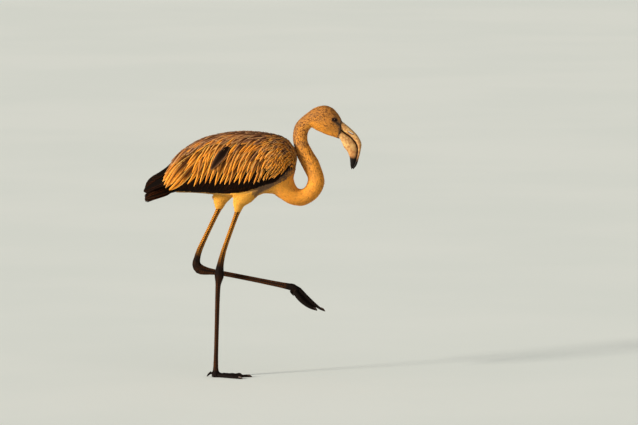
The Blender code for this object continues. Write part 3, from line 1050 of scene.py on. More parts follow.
@dataclass
class Flesh:
    """The skin in one piece over trunk, folded wings, tail, neck, head and thighs."""

    voxel: float = 1.74
    tuck: float = 2.6
    socket: float = 4.6
    socket_rim: float = 0.7
    # Small forms of the head, on both sides: x, y, z, radius and height.
    forms: Rows = (
        (299.0, 15.0, 655.0, 6.5, 0.9),
        (289.0, 18.0, 652.0, 7.0, 0.5),
        (279.0, 20.0, 629.0, 13.0, 1.3),
        (308.0, 15.0, 638.0, 6.0, -1.0),
        (298.0, 14.0, 612.0, 9.0, 0.8),
        (262.0, 20.0, 642.0, 12.0, 0.6),
        (304.0, 0.0, 668.0, 8.0, -0.6),
    )
    piece: Object = field(init=False)
    points: Array = field(init=False)
    normals: Array = field(init=False)
    t: Array = field(init=False)
    angle: Array = field(init=False)
    limb: Array = field(init=False)
    lay: Array = field(init=False)

    def _sunk(self, along: Array, around: Array) -> Array:
        """The flesh of body, neck and head, under the coat.

        Args:
            along: Shares of the way along.
            around: Shares of the way round.

        Returns:
            The points.
        """
        t, angle = along * HEAD_END, turned(around)
        surface = FLESH.place(t, angle)
        wing = wing_share(surface, t, angle)
        cover = np.maximum(spline(FLESH.rows, t)[..., 5], 0) * np.clip((np.cos(angle) + 0.86) / 0.45, 0, 1)
        cover = np.where(t < 3, np.minimum(cover, 6), np.minimum(cover, 14)) * (t < NECK_ROOT + 0.5)
        depth = SIZES.read(t)[0]
        under_wing = np.interp(t, (0, 2.5), (1.4, SIZES.wing_depth))
        return FLESH.place(t, angle, wing * under_wing + (1 - wing) * (cover * 0.8 + depth))

    def _tubes(self) -> list[Object]:
        """The body with neck and head, both thighs and the tail, as overlapping closed tubes.

        Returns:
            The tubes' objects.
        """
        tubes = [settled("flesh_line", sheet(self._sunk, 168, 56))]
        for name, stations in THIGHS.items():

            def thigh(along: Array, around: Array, limb: Limb = Limb(stations)) -> Array:
                """Points of one thigh under its coat."""
                return limb.place(along * 4.0, turned(around), SIZES.thigh[0] * (1 - along * 0.5))

            tubes.append(settled(f"thigh_line_{name}", sheet(thigh, 24, 32)))

        def tail(along: Array, around: Array) -> Array:
            """Points of the tail's flesh, deep under its feathers."""
            return TAIL.place(1.7 + along * 3.3, turned(around), 3.0 + 4.0 * (1 - along))

        return [*tubes, settled("tail_line", sheet(tail, 24, 28))]

    def _samples(self) -> tuple[Array, ...]:
        """Dense places over the flesh, each with its rib, angle, limb and the way that feathers lie there.

        Returns:
            Places, ribs, turns, limbs and directions.
        """
        rows = []
        t, angle = crossed(np.arange(0, HEAD_END + 0.01, 0.06), np.linspace(-math.pi, math.pi, 97)[:-1])
        lay = unit(FLESH.place(t - 0.04, angle) - FLESH.place(t + 0.04, angle))
        rows.append((FLESH.place(t, angle, SIZES.read(t)[0]), t, angle, np.zeros(len(t)), lay))
        for number, stations in enumerate(THIGHS.values(), 1):
            limb = Limb(stations)
            t, angle = crossed(np.arange(0.4, 4.01, 0.1), np.linspace(-math.pi, math.pi, 49)[:-1])
            lay = unit(limb.place(t + 0.05, angle) - limb.place(t - 0.05, angle) + (-0.8, 0.0, 0.0))
            rows.append((limb.place(t, angle, SIZES.thigh[0]), t, angle, np.full(len(t), number), lay))
        return tuple(np.concatenate(column) for column in zip(*rows))

    def build(self) -> None:
        """Makes the skin's mesh and reads the lie of the coat over it."""
        self.piece = smoothed(united("skin", self._tubes(), self.voxel), 4)
        mesh = self.piece.data
        self._tuck_thighs(mesh)
        self.points = points_of(mesh)
        self._shape_head(mesh)
        self.normals = normals_of(mesh)
        places, t, angle, limb, lay = self._samples()
        tree = tree_of(places)
        near = np.array([tree.find(point)[1] for point in self.points])
        self.t, self.angle, self.limb = t[near], angle[near], limb[near]
        x, _, z = self.points.T
        slope = (wing_edge(x + 2) - wing_edge(x - 2)) / 4
        beside = rise(z - wing_edge(x), -26.0, -8.0) * rise(x, 40.0, 70.0)
        beside = beside * (self.limb < 0.5) * (self.t < NECK_ROOT + 3)
        swept = unit(np.stack((-np.ones(len(x)), 0 * x, -slope - 0.15), -1))
        self.lay = flat_on(lay[near] * (1 - beside)[:, None] + swept * beside[:, None], self.normals)

    def _tuck_thighs(self, mesh: Mesh) -> None:
        """Draws the tops of the thighs in under the folded wings.

        Args:
            mesh: The mesh.
        """
        points = points_of(mesh)
        x, y, z = points.T
        above = rise(z - wing_edge(x), -8.0, 1.0) * (x > -25) * (x < 125) * (z < 505)
        t, angle = crossed(np.arange(3.0, 9.0, 0.05), np.radians(np.arange(60, 149, 1.0)))
        sunk = ENVELOPE.place(t, angle, SIZES.wing_depth + self.tuck)
        tree = tree_of(sunk * (1, 0, 1))
        for i in np.flatnonzero(above > 0):
            limit = sunk[tree.find((x[i], 0.0, z[i]))[1], 1]
            excess = max(abs(y[i]) - limit, 0.0) * above[i]
            points[i, 1] -= math.copysign(excess, y[i])
        move_points(mesh, points)

    def _shape_head(self, mesh: Mesh) -> None:
        """Raises brows and cheeks, sinks the lores and opens the eye sockets.

        Args:
            mesh: The mesh.
        """
        moved = self.points.copy()
        normals = normals_of(mesh)
        for x, y, z, radius, height in self.forms:
            for sign in (-1, 1):
                gap = np.linalg.norm(self.points - (x, y * sign, z), axis=1) / radius
                moved += normals * (height * np.exp(-gap**2) / (2 if y == 0 else 1))[:, None]
        for sign in (-1, 1):
            flat_gap = np.hypot(moved[:, 0] - EYE[0], moved[:, 2] - EYE[2])
            outside = moved[:, 1] * sign > 8
            pit = self.socket * (1 - rise(flat_gap, 2.4, 5.2)) * outside
            rim = self.socket_rim * np.exp(-(((flat_gap - 6.2) / 1.6) ** 2)) * outside
            moved[:, 1] += sign * (rim - pit)
        self.points = moved
        move_points(mesh, moved)

    def dress(self) -> None:
        """Marks and colours the skin."""
        keep(self.piece.data, "root", self.points * MM)
        keep(self.piece.data, "marking", MARKINGS.read(self.points, self.t, self.angle, self.limb))
        bake_map(self.piece.data, self.unwrapped(self.t, self.angle, self.limb))
        nodes = ("trunk", "neck_lower", "neck_middle", "neck_upper", "head", "thigh_right", "thigh_left")
        show(self.piece, PlumageFinish().material("skin", False), nodes)

    @staticmethod
    def unwrapped(t: Array, angle: Array, limb: Array) -> Array:
        """Where each place lies on the flat unwrap of the skin's own shape.

        Args:
            t: Its rib.
            angle: Its turn from the dorsal edge.
            limb: 0 on the body, and 1 or 2 on the right or left thigh.

        Returns:
            Two numbers from 0 to 1 for each place.
        """
        along = np.where(limb > 0, 0.84 + t * 0.035, 0.01 + t * (0.8 / HEAD_END))
        turn = angle / (2 * math.pi) + 0.5
        around = np.where(limb > 0, (turn + limb - 1) * 0.48 + 0.01, turn * 0.97 + 0.015)
        return np.stack((along, around), -1)


@dataclass(frozen=True)
class Markings:
    """The pattern that skin and coat share, painted shade below and under the folded wings included. Tables
    run along the ribs, from the wing tips to the bill.
    """

    warmth_at: tuple[float, ...] = (0, 8, 10, 12, 14, 17, 20, 22, 25, 28)
    warmth: tuple[float, ...] = (0.8, 0.8, 0.62, 0.62, 0.6, 0.55, 0.34, 0.28, 0.22, 0.2)
    speckle_at: tuple[float, ...] = (0, 12, 15, 17, 19, 24, 28)
    speckle: tuple[float, ...] = (0.25, 0.35, 0.45, 0.75, 1.1, 1.05, 0.9)
    thigh_warmth: float = 0.85
    thigh_speckle: float = 0.3
    rear_shade: float = 0.7
    # Painted shade under the folded wings, in the dark range from 1 to 2.
    wing_shade: float = 2.0
    face_shade: float = 1.4
    gape_shade: float = 1.3
    nape_shade: float = 0.42

    def read(self, points: Array, t: Array, angle: Array, limb: Array) -> Array:
        """Reads the pattern.

        Args:
            points: Places in millimetres.
            t: Their ribs.
            angle: Their turns from the dorsal edge.
            limb: 0 on the body, and 1 or 2 on a thigh.

        Returns:
            Warmth, speckle and shade of each place.
        """
        body = limb < 0.5
        ventral = rise(-np.cos(angle), -0.1, 0.8)
        warmth = np.where(body, np.interp(t, self.warmth_at, self.warmth), self.thigh_warmth)
        warmth = warmth + np.where(body & (t > NECK_TOP), 0.3 * ventral, 0.0)
        warmth = warmth + np.where(body & (t < NECK_ROOT), 0.12 * ventral, 0.0)
        speckle = np.where(body, np.interp(t, self.speckle_at, self.speckle), self.thigh_speckle)
        speckle = speckle * (1 - 0.35 * np.where(t > NECK_TOP, ventral, 0.0))
        return np.stack((np.clip(warmth, 0, 1), speckle, self._shade(points, t, angle, body)), -1)

    def _shade(self, points: Array, t: Array, angle: Array, body: Array) -> Array:
        """How grey, up to 1, or dark, up to 2, each place is: painted shade below and under the folded wing,
        a darker rear and nape, and dark lores, eye ring and gape.

        Args:
            points: The points.
            t: Ribs.
            angle: Turns from the dorsal edge.
            body: Whether each place is on the body.

        Returns:
            A number for each place.
        """
        x, y, z = points[:, 0], np.abs(points[:, 1]), points[:, 2]
        below = wing_edge(x) - z
        # Painted shadow: a grey band on the breast and flanks just below the folded wing's lower edge.
        band = rise(below, -3.0, 1.0) * (1 - rise(below, 12.0, 26.0)) * rise(x, 50.0, 120.0)
        band = band * (1 - rise(t, 11.4, 12.0)) * body
        # Painted shade: skin and tufts under the folded wing's edge turn near black, for the shadow in the
        # gaps between the feathers.
        under = rise(wing_share(points, t, angle), 0.4, 0.85) * body * self.wing_shade
        rear = rise(-x, -60.0, 20.0) * body * self.rear_shade
        face = (t > 24) & body & (y > 6)
        lores = np.exp(-(((z - 642 + (x - 300) * 0.9) / 6.0) ** 2)) * rise(x, 296.0, 302.0) * face
        eye_gap = np.hypot(x - EYE[0], z - EYE[2])
        ring = (1 - rise(eye_gap, 4.8, 6.6)) * face
        gape = rise(t, 27.35, 27.9) * body * self.gape_shade
        nape = rise(np.cos(angle), 0.1, 0.9) * rise(t, 16.0, 18.5) * (1 - rise(t, 22.5, 25.0)) * body
        lores, ring, nape = lores * self.face_shade, ring * self.face_shade, nape * self.nape_shade
        return np.maximum.reduce((band, under, lores, ring, gape, rear, nape))


MARKINGS = Markings()


@dataclass
class Coat:
    """Short feathers as closed tufts, scattered evenly over the skin."""

    flesh: Flesh
    seed: int = 11
    # A tuft's points: share along it, share across, and height; the rim comes first.
    shape: Rows = (
        (0.0, 0.0, 0.0),
        (0.4, -0.44, 0.0),
        (0.86, -0.4, 0.0),
        (0.78, -0.15, 0.0),
        (1.0, -0.03, 0.0),
        (0.76, 0.15, 0.0),
        (0.9, 0.36, 0.0),
        (0.4, 0.46, 0.0),
        (0.5, 0.0, 0.5),
        (0.5, 0.0, -0.5),
    )
    thickness: float = 0.06
    rng: np.random.Generator = field(init=False)
    spacing: Array = field(init=False)
    root: Array = field(init=False)
    normal: Array = field(init=False)
    lay: Array = field(init=False)
    t: Array = field(init=False)
    angle: Array = field(init=False)
    limb: Array = field(init=False)

    def _candidates(self) -> tuple[Array, Array, Array]:
        """Random places on the skin, many for each tuft.

        Returns:
            The corners of each place's face, its share of each corner, and the order to try the places in.
        """
        mesh, rng = self.flesh.piece.data, self.rng
        mesh.calc_loop_triangles()
        corners = np.empty(len(mesh.loop_triangles) * 3, np.int32)
        mesh.loop_triangles.foreach_get("vertices", corners)
        corners = corners.reshape(-1, 3)
        points = self.flesh.points[corners]
        area = np.linalg.norm(np.cross(points[:, 1] - points[:, 0], points[:, 2] - points[:, 0]), axis=1) / 2
        spacing = self.spacing[corners].mean(1)
        wanted = np.where(spacing > 0, 5.0 * area / np.maximum(spacing, 0.5) ** 2, 0.0)
        count = np.floor(wanted + rng.random(len(wanted))).astype(int)
        face = np.repeat(np.arange(len(corners)), count)
        a, b = rng.random(len(face)), rng.random(len(face))
        a, b = np.where(a + b > 1, 1 - a, a), np.where(a + b > 1, 1 - b, b)
        return corners[face], np.stack((1 - a - b, a, b), -1), rng.permutation(len(face))

    def _bare(self) -> Array:
        """Whether each point of the skin is bare: by wings, tail, eyes and bill, or at a thigh's end.

        Returns:
            True where nothing grows.
        """
        flesh = self.flesh
        thigh = flesh.limb > 0.5
        x, y, z = flesh.points.T
        hidden = (wing_share(flesh.points, flesh.t, flesh.angle) * ~thigh > 0.6) | (x < -104)
        gape = ~thigh & (flesh.t > 27.75) & (flesh.normals[:, 0] > 0.8)
        eye = (np.hypot(x - EYE[0], z - EYE[2]) < 5.3) & (np.abs(y) > 8)
        cap = (flesh.t > 3.96) | ((flesh.t > 3.4) & (flesh.normals[:, 2] < -0.75))
        return hidden | gape | eye | (thigh & (cap | (z > wing_edge(x) - 1.5)))

    def scatter(self) -> None:
        """Chooses the tufts' roots so that none is nearer to another than the spacing there."""
        flesh = self.flesh
        self.rng = np.random.default_rng(self.seed)
        self.spacing = np.where(self._bare(), 0.0, SIZES.read(flesh.t, flesh.limb > 0.5)[1])
        corners, shares, order = self._candidates()
        spot = (flesh.points[corners] * shares[..., None]).sum(1)
        reach = (self.spacing[corners] * shares).sum(1)
        tree = tree_of(spot)
        free = np.ones(len(spot), bool)
        chosen = []
        for i in order:
            if free[i]:
                chosen.append(i)
                for _, j, _ in tree.find_range(spot[i], reach[i]):
                    free[j] = False
        chosen = np.array(chosen)
        corners, shares = corners[chosen], shares[chosen]
        nearest = corners[np.arange(len(chosen)), shares.argmax(1)]
        self.root = spot[chosen]
        self.normal = unit((flesh.normals[corners] * shares[..., None]).sum(1))
        self.lay = flat_on((flesh.lay[corners] * shares[..., None]).sum(1), self.normal)
        self.t, self.angle, self.limb = flesh.t[nearest], flesh.angle[nearest], flesh.limb[nearest]

    def build(self) -> None:
        """Makes a piece of tufts for each part of the body."""
        material = PlumageFinish().material("down", True)
        body = self.limb < 0.5
        for name, chosen in (
            ("coat_head", body & (self.t >= NECK_TOP)),
            ("coat_neck_upper", body & (self.t >= NECK_MIDDLE) & (self.t < NECK_TOP)),
            ("coat_neck_lower", body & (self.t >= NECK_ROOT) & (self.t < NECK_MIDDLE)),
            ("coat_underparts", body & (self.t < NECK_ROOT)),
            ("coat_thigh_right", self.limb == 1),
            ("coat_thigh_left", self.limb == 2),
        ):
            show(self._piece(name, np.flatnonzero(chosen)), material)

    def _piece(self, name: str, chosen: Array) -> Object:
        """Joins the chosen tufts into one mesh.

        Args:
            name: The piece's name.
            chosen: The tufts' numbers.

        Returns:
            The piece.
        """
        count, rng = len(chosen), self.rng
        t, angle, limb = self.t[chosen], self.angle[chosen], self.limb[chosen]
        depth, _, length, width = SIZES.read(t, limb > 0.5)
        length = length * rng.uniform(0.8, 1.25, count)
        width = width * rng.uniform(0.85, 1.2, count)
        lift = depth * rng.uniform(0.55, 1.15, count)
        root, normal, lay = self.root[chosen], self.normal[chosen], self.lay[chosen]
        beside = rise(root[:, 2] - wing_edge(root[:, 0]), -12.0, -2.0) * (t < NECK_ROOT + 2)
        length, lift = length * (1 - 0.35 * beside), lift * (1 - 0.7 * beside)
        length = length * np.where(limb > 0.5, 1 - 0.4 * rise(t, 3.0, 3.9), 1.0)
        across = np.cross(normal, lay)
        turn = np.radians(rng.normal(0, 7.0, count))[:, None]
        lay, across = lay * np.cos(turn) + across * np.sin(turn), across * np.cos(turn) - lay * np.sin(turn)
        shape = np.array(self.shape)
        thick = np.maximum(self.thickness, width * 0.035)
        along, aside = shape[:, 0] * length[:, None], shape[:, 1] * width[:, None]
        camber = -0.2 * np.abs(shape[:, 1]) * width[:, None]
        climb = shape[:, 0] ** 0.8 * lift[:, None] + shape[:, 2] * thick[:, None] + camber - 0.05
        steps = ((lay[:, None], along), (across[:, None], aside), (normal[:, None], climb))
        rim = len(shape) - 2
        ring = [(i, (i + 1) % rim) for i in range(rim)]
        faces = [(a, b, rim) for a, b in ring] + [(b, a, rim + 1) for a, b in ring]
        made = joined_mesh(name, reached(root[:, None], *steps), np.array(faces))
        mesh, corners = made.data, len(shape)
        keep(mesh, "root", np.repeat(root * MM, corners, 0))
        keep(mesh, "marking", np.repeat(MARKINGS.read(root, t, angle, limb), corners, 0))
        keep(mesh, "vane", np.tile(shape, (count, 1)))
        patch = (shape[:, :2] - (0.5, 0.0)) * TUFT_PATCH
        spots = self.flesh.unwrapped(t, angle, limb)[:, None] + patch
        bake_map(mesh, spots.reshape(-1, 2))
        return made


def joined_mesh(name: str, points: Array, faces: Array) -> Object:
    """Many copies of one small mesh as a single object.

    Args:
        name: The object's name.
        points: The copies' points in millimetres, one row of them for each copy.
        faces: The small mesh's triangles.

    Returns:
        The object.
    """
    count, corners = points.shape[:2]
    triangles = (np.arange(count)[:, None, None] * corners + faces[None]).reshape(-1, 3)
    mesh = bpy.data.meshes.new(name)
    mesh.from_pydata(points.reshape(-1, 3) * MM, [], triangles)
    mesh.shade_smooth()
    mesh.set_sharp_from_angle(angle=math.radians(70))
    made = bpy.data.objects.new(name, mesh)
    bpy.context.scene.collection.objects.link(made)
    return made


# ---- long feathers
@dataclass(frozen=True)
class Cut:
    """How one kind of feather is cut and laid. Lengths are in millimetres and angles in degrees."""

    length: float
    half_width: float
    narrows: float = 0.45
    power: float = 2.2
    tip: float = 0.0
    root: float = -3.4
    camber: float = 0.7
    roll: float = 5.0
    stray: float = 3.0
    dark: float = 0.0
    fringe: float = 0.8

    def outline(self, share: Array) -> Array:
        """The half width at each share of the length, as a share of the widest.

        Args:
            share: Shares of the length.

        Returns:
            A share for each.
        """
        start = 0.35 + 0.65 * np.clip(share / 0.3, 0, 1) ** 0.7
        late = np.clip((share - self.narrows) / (1 - self.narrows), 0, 1)
        return start * np.maximum(1 - late**self.power, 0.0) ** 0.75


@dataclass
class Tract:
    """One kind of feather on the folded wings, back or tail, gathered into one mesh for each side."""

    name: str
    tube: Tube
    rng: np.random.Generator
    parts: list[tuple[Array, ...]] = field(default_factory=list)
    rows: int = 11
    columns: int = 7
    thickness: float = 0.45
    shaft: float = 0.35

    def lay_angle(self, t: Array, angle: Array) -> Array:
        """How far feathers point down from straight back, in radians, by where they lie on the wing.

        Args:
            t: Ribs.
            angle: Turns from the dorsal edge.

        Returns:
            An angle for each place.
        """
        turn = np.degrees(angle)
        upright = np.interp(turn, (0, 20, 37, 66, 90, 120, 180), (82, 68, 52, 37, 25, 20, 18))
        x = self.tube.place(t, angle)[..., 0]
        rear = 36 * rise(-x, 10.0, 100.0) * rise(turn, 20.0, 60.0)
        return np.radians(90 - np.minimum(upright + rear, 84))

    def walk(
        self, t: Array, angle: Array, length: Array, stray: Array, fixed: float | None
    ) -> tuple[Array, ...]:
        """Follows each feather from its tip up to its root.

        Args:
            t: Ribs of the tips.
            angle: Turns of the tips from the dorsal edge.
            length: Lengths.
            stray: How far each feather is turned from the lie of its neighbours, in radians.
            fixed: One angle for all in place of the lie of the coat, in degrees, or None.

        Returns:
            Points, directions and normals, from root to tip.
        """
        shares = self.shares()
        stops = []
        for step in np.diff(shares)[::-1].tolist() + [None]:
            here = self.tube.place(t, angle)
            ahead, around = self.tube.edges(t, angle)
            normal = unit(np.cross(ahead, around))
            back = unit(-ahead)
            down = flat_on(around, back)
            lean = (self.lay_angle(t, angle) if fixed is None else np.radians(fixed)) + stray
            way = back * np.cos(lean)[:, None] + down * np.sin(lean)[:, None]
            front = (rise(here[:, 0], 115, 155) * rise(np.degrees(angle), 38, 70))[:, None]
            slope = np.radians(36 + 20 * rise(here[:, 0], 120, 190)) + stray
            swept = flat_on(np.stack((-np.cos(slope), 0 * slope, -np.sin(slope)), -1), normal)
            way = unit(way * (1 - front) + swept * front)
            stops.append((here, way, normal))
            if step is None:
                break
            move = -way * (length * step)[:, None]
            aa, bb, ab = (ahead**2).sum(1), (around**2).sum(1), (ahead * around).sum(1)
            am, bm = (ahead * move).sum(1), (around * move).sum(1)
            det = np.maximum(aa * bb - ab**2, 1e-6)
            t = np.clip(t + (am * bb - bm * ab) / det, 0.02, len(self.tube.rows) - 1.02)
            angle = np.clip(angle + (bm * aa - am * ab) / det, -0.1, math.pi + 0.1)
        return tuple(np.stack(column, 1)[:, ::-1] for column in zip(*stops))

    def shares(self) -> Array:
        """Shares of a feather's length where it has points, closer towards the tip."""
        return 1 - (1 - np.linspace(0, 1, self.rows)) ** 1.35

    def lay(
        self, cut: Cut, t: Array, angle: Array, size: Number = 1.0, slim: Number = 1.0,
        fixed: float | None = None, raised: Number = 0.0, tone: Number = 0.5,
    ) -> None:
        """Adds feathers with their tips at the given places.

        Args:
            cut: Their kind.
            t: Ribs of the tips.
            angle: Turns of the tips from the dorsal edge.
            size: Their lengths, as shares of the kind's.
            slim: Their widths, as shares of the kind's.
            fixed: One angle from straight back for all, in degrees.
            raised: Added height, in millimetres.
            tone: From 0, dark brown, to 1, warm and light.
        """
        count, rng = len(t), self.rng
        size, slim, raised = (np.broadcast_to(value, count) for value in (size, slim, raised))
        length = cut.length * size * rng.uniform(0.92, 1.08, count)
        half = cut.half_width * slim * rng.uniform(0.9, 1.1, count)
        stray = np.radians(rng.normal(0, cut.stray, count))
        spot, way, normal = self.walk(t, angle, length, stray, fixed)
        u = self.shares()
        v = np.linspace(-1, 1, self.columns)
        aside = np.cross(normal, way)
        width = cut.outline(u)[None] * half[:, None]
        notch = rng.random((count, self.rows, 2))
        width = width[..., None] * np.where(notch > 0.93, 0.78, 1.0 + 0.05 * (notch - 0.5))
        reach = np.where(v < 0, width[..., :1], width[..., 1:]) * v
        jitter = rng.uniform(-0.15, 0.15, count)[:, None]
        climb = cut.root + (cut.tip - cut.root) * u[None] + raised[:, None] + jitter
        curl = rng.uniform(-0.2, 0.9, count)[:, None] * rise(u, 0.7, 1.0)[None]
        roll = np.radians(cut.roll + rng.normal(0, 1.5, count))[:, None, None]
        share = u[None, :, None]
        height = (climb + curl)[..., None] + np.tan(roll) * reach - cut.camber * v**2 * (0.4 + 0.6 * share)
        height = height + self.shaft * np.maximum(1 - np.abs(v) / 0.2, 0) * (1 - share * 0.6)
        top = reached(spot[:, :, None], (aside[:, :, None], reach), (normal[:, :, None], height))
        under = top - normal[:, :, None] * (self.thickness * (1 - v**2))[:, None]
        rim = np.maximum(np.abs(v) * (0.8 + 0.2 * rise(share, 0.0, 0.4)), rise(share, 0.86, 1.0))
        vane = np.stack(np.broadcast_arrays(share, v * np.ones((count, 1, 1)), rim), -1)
        tone = np.clip(np.broadcast_to(tone, count) + rng.normal(0, 0.12, count), 0, 1)
        fringe = np.clip(cut.fringe + rng.normal(0, 0.12, count), 0, 1)
        mark = np.stack((tone, np.full(count, cut.dark), fringe), -1)
        span = np.stack((length / 100, half / 10, rng.random(count)), -1)
        self.parts.append((np.stack((top, under), 1), vane, mark, span))

    def template(self) -> tuple[Array, Array]:
        """A feather's points, as layer, row and column, and its triangles.

        Returns:
            The points and the triangles.
        """
        last, middle = self.rows - 1, self.columns // 2
        names: dict[tuple[int, int, int], int] = {}

        def number(layer: int, row: int, column: int) -> int:
            """The point's number; the two layers share their rim, and the tip is one point.

            Args:
                layer: 0 for the upper layer, 1 for the lower.
                row: The row, from the root.
                column: The column, across the feather.

            Returns:
                Its number.
            """
            if row == last:
                layer, column = 0, middle
            elif row == 0 or column in (0, self.columns - 1):
                layer = 0
            return names.setdefault((layer, row, column), len(names))

        faces = []
        for layer in (0, 1):
            for row in range(last):
                for column in range(self.columns - 1):
                    a, b = number(layer, row, column), number(layer, row + 1, column)
                    c, d = number(layer, row + 1, column + 1), number(layer, row, column + 1)
                    # The halves mirror each other about the shaft, so that the layers share no face.
                    pair = [(a, b, c), (a, c, d)] if column < middle else [(a, b, d), (b, c, d)]
                    pair = [(a, b, d)] if row == last - 1 else pair
                    faces += pair if layer == 0 else [face[::-1] for face in pair]
        return np.array(list(names)), np.array(faces)

    def build(self, material: Material, sides: tuple[Side, ...], slot: str, nodes: Names) -> None:
        """Makes the mesh of each side.

        Args:
            material: The feathers' finish.
            sides: The sides to build it on.
            slot: The record's slot; not used.
            nodes: The solids it stands for, without the side.
        """
        stack, vane, mark, span = (np.concatenate(column) for column in zip(*self.parts))
        corners, faces = self.template()
        layer, row, column = corners.T
        chosen = stack[:, layer, row, column]
        for side in sides:
            points = chosen * (1, side.value, 1)
            order = faces if side is Side.LEFT else faces[:, ::-1]
            word = f"_{side.word}" if len(sides) > 1 else ""
            made = joined_mesh(self.name + word, points, order)
            keep(made.data, "span", np.repeat(span, len(corners), 0))
            keep(made.data, "vane", vane[:, row, column].reshape(-1, 3))
            keep(made.data, "mark", np.repeat(mark, len(corners), 0))
            bake_map(made.data, self._patches(len(chosen), corners))
            show(made, material, tuple(node + word for node in nodes))
        self.parts = []

    def _patches(self, count: int, corners: Array) -> Array:
        """Gives each feather a patch of its own on the baking map.

        Args:
            count: How many feathers there are.
            corners: The template's points.

        Returns:
            Two numbers from 0 to 1 for each point.
        """
        per_row = math.ceil(math.sqrt(count / 3))
        shelf = math.ceil(count / per_row)
        number = np.arange(count)
        cell = np.stack((number % per_row / per_row, number // per_row / shelf), -1)
        _, row, column = corners.T
        inside = np.stack((0.04 + 0.92 * self.shares()[row], 0.06 + 0.88 * column / (self.columns - 1)), -1)
        return (cell[:, None] + inside * (1 / per_row, 1 / shelf)).reshape(-1, 2)


def rib_at(x: Array, turn: float) -> Array:
    """The rib at each x along the back, on the line with that turn from the dorsal edge.

    Args:
        x: Places along the back.
        turn: The line's turn, in radians.

    Returns:
        A rib for each x.
    """
    ribs = np.linspace(0, NECK_ROOT, 400)
    line = ENVELOPE.place(ribs, np.full(400, turn))[:, 0]
    # Past its 370th place the line rises up the shoulder, and x no longer grows.
    return np.interp(x, line[:370], ribs[:370])


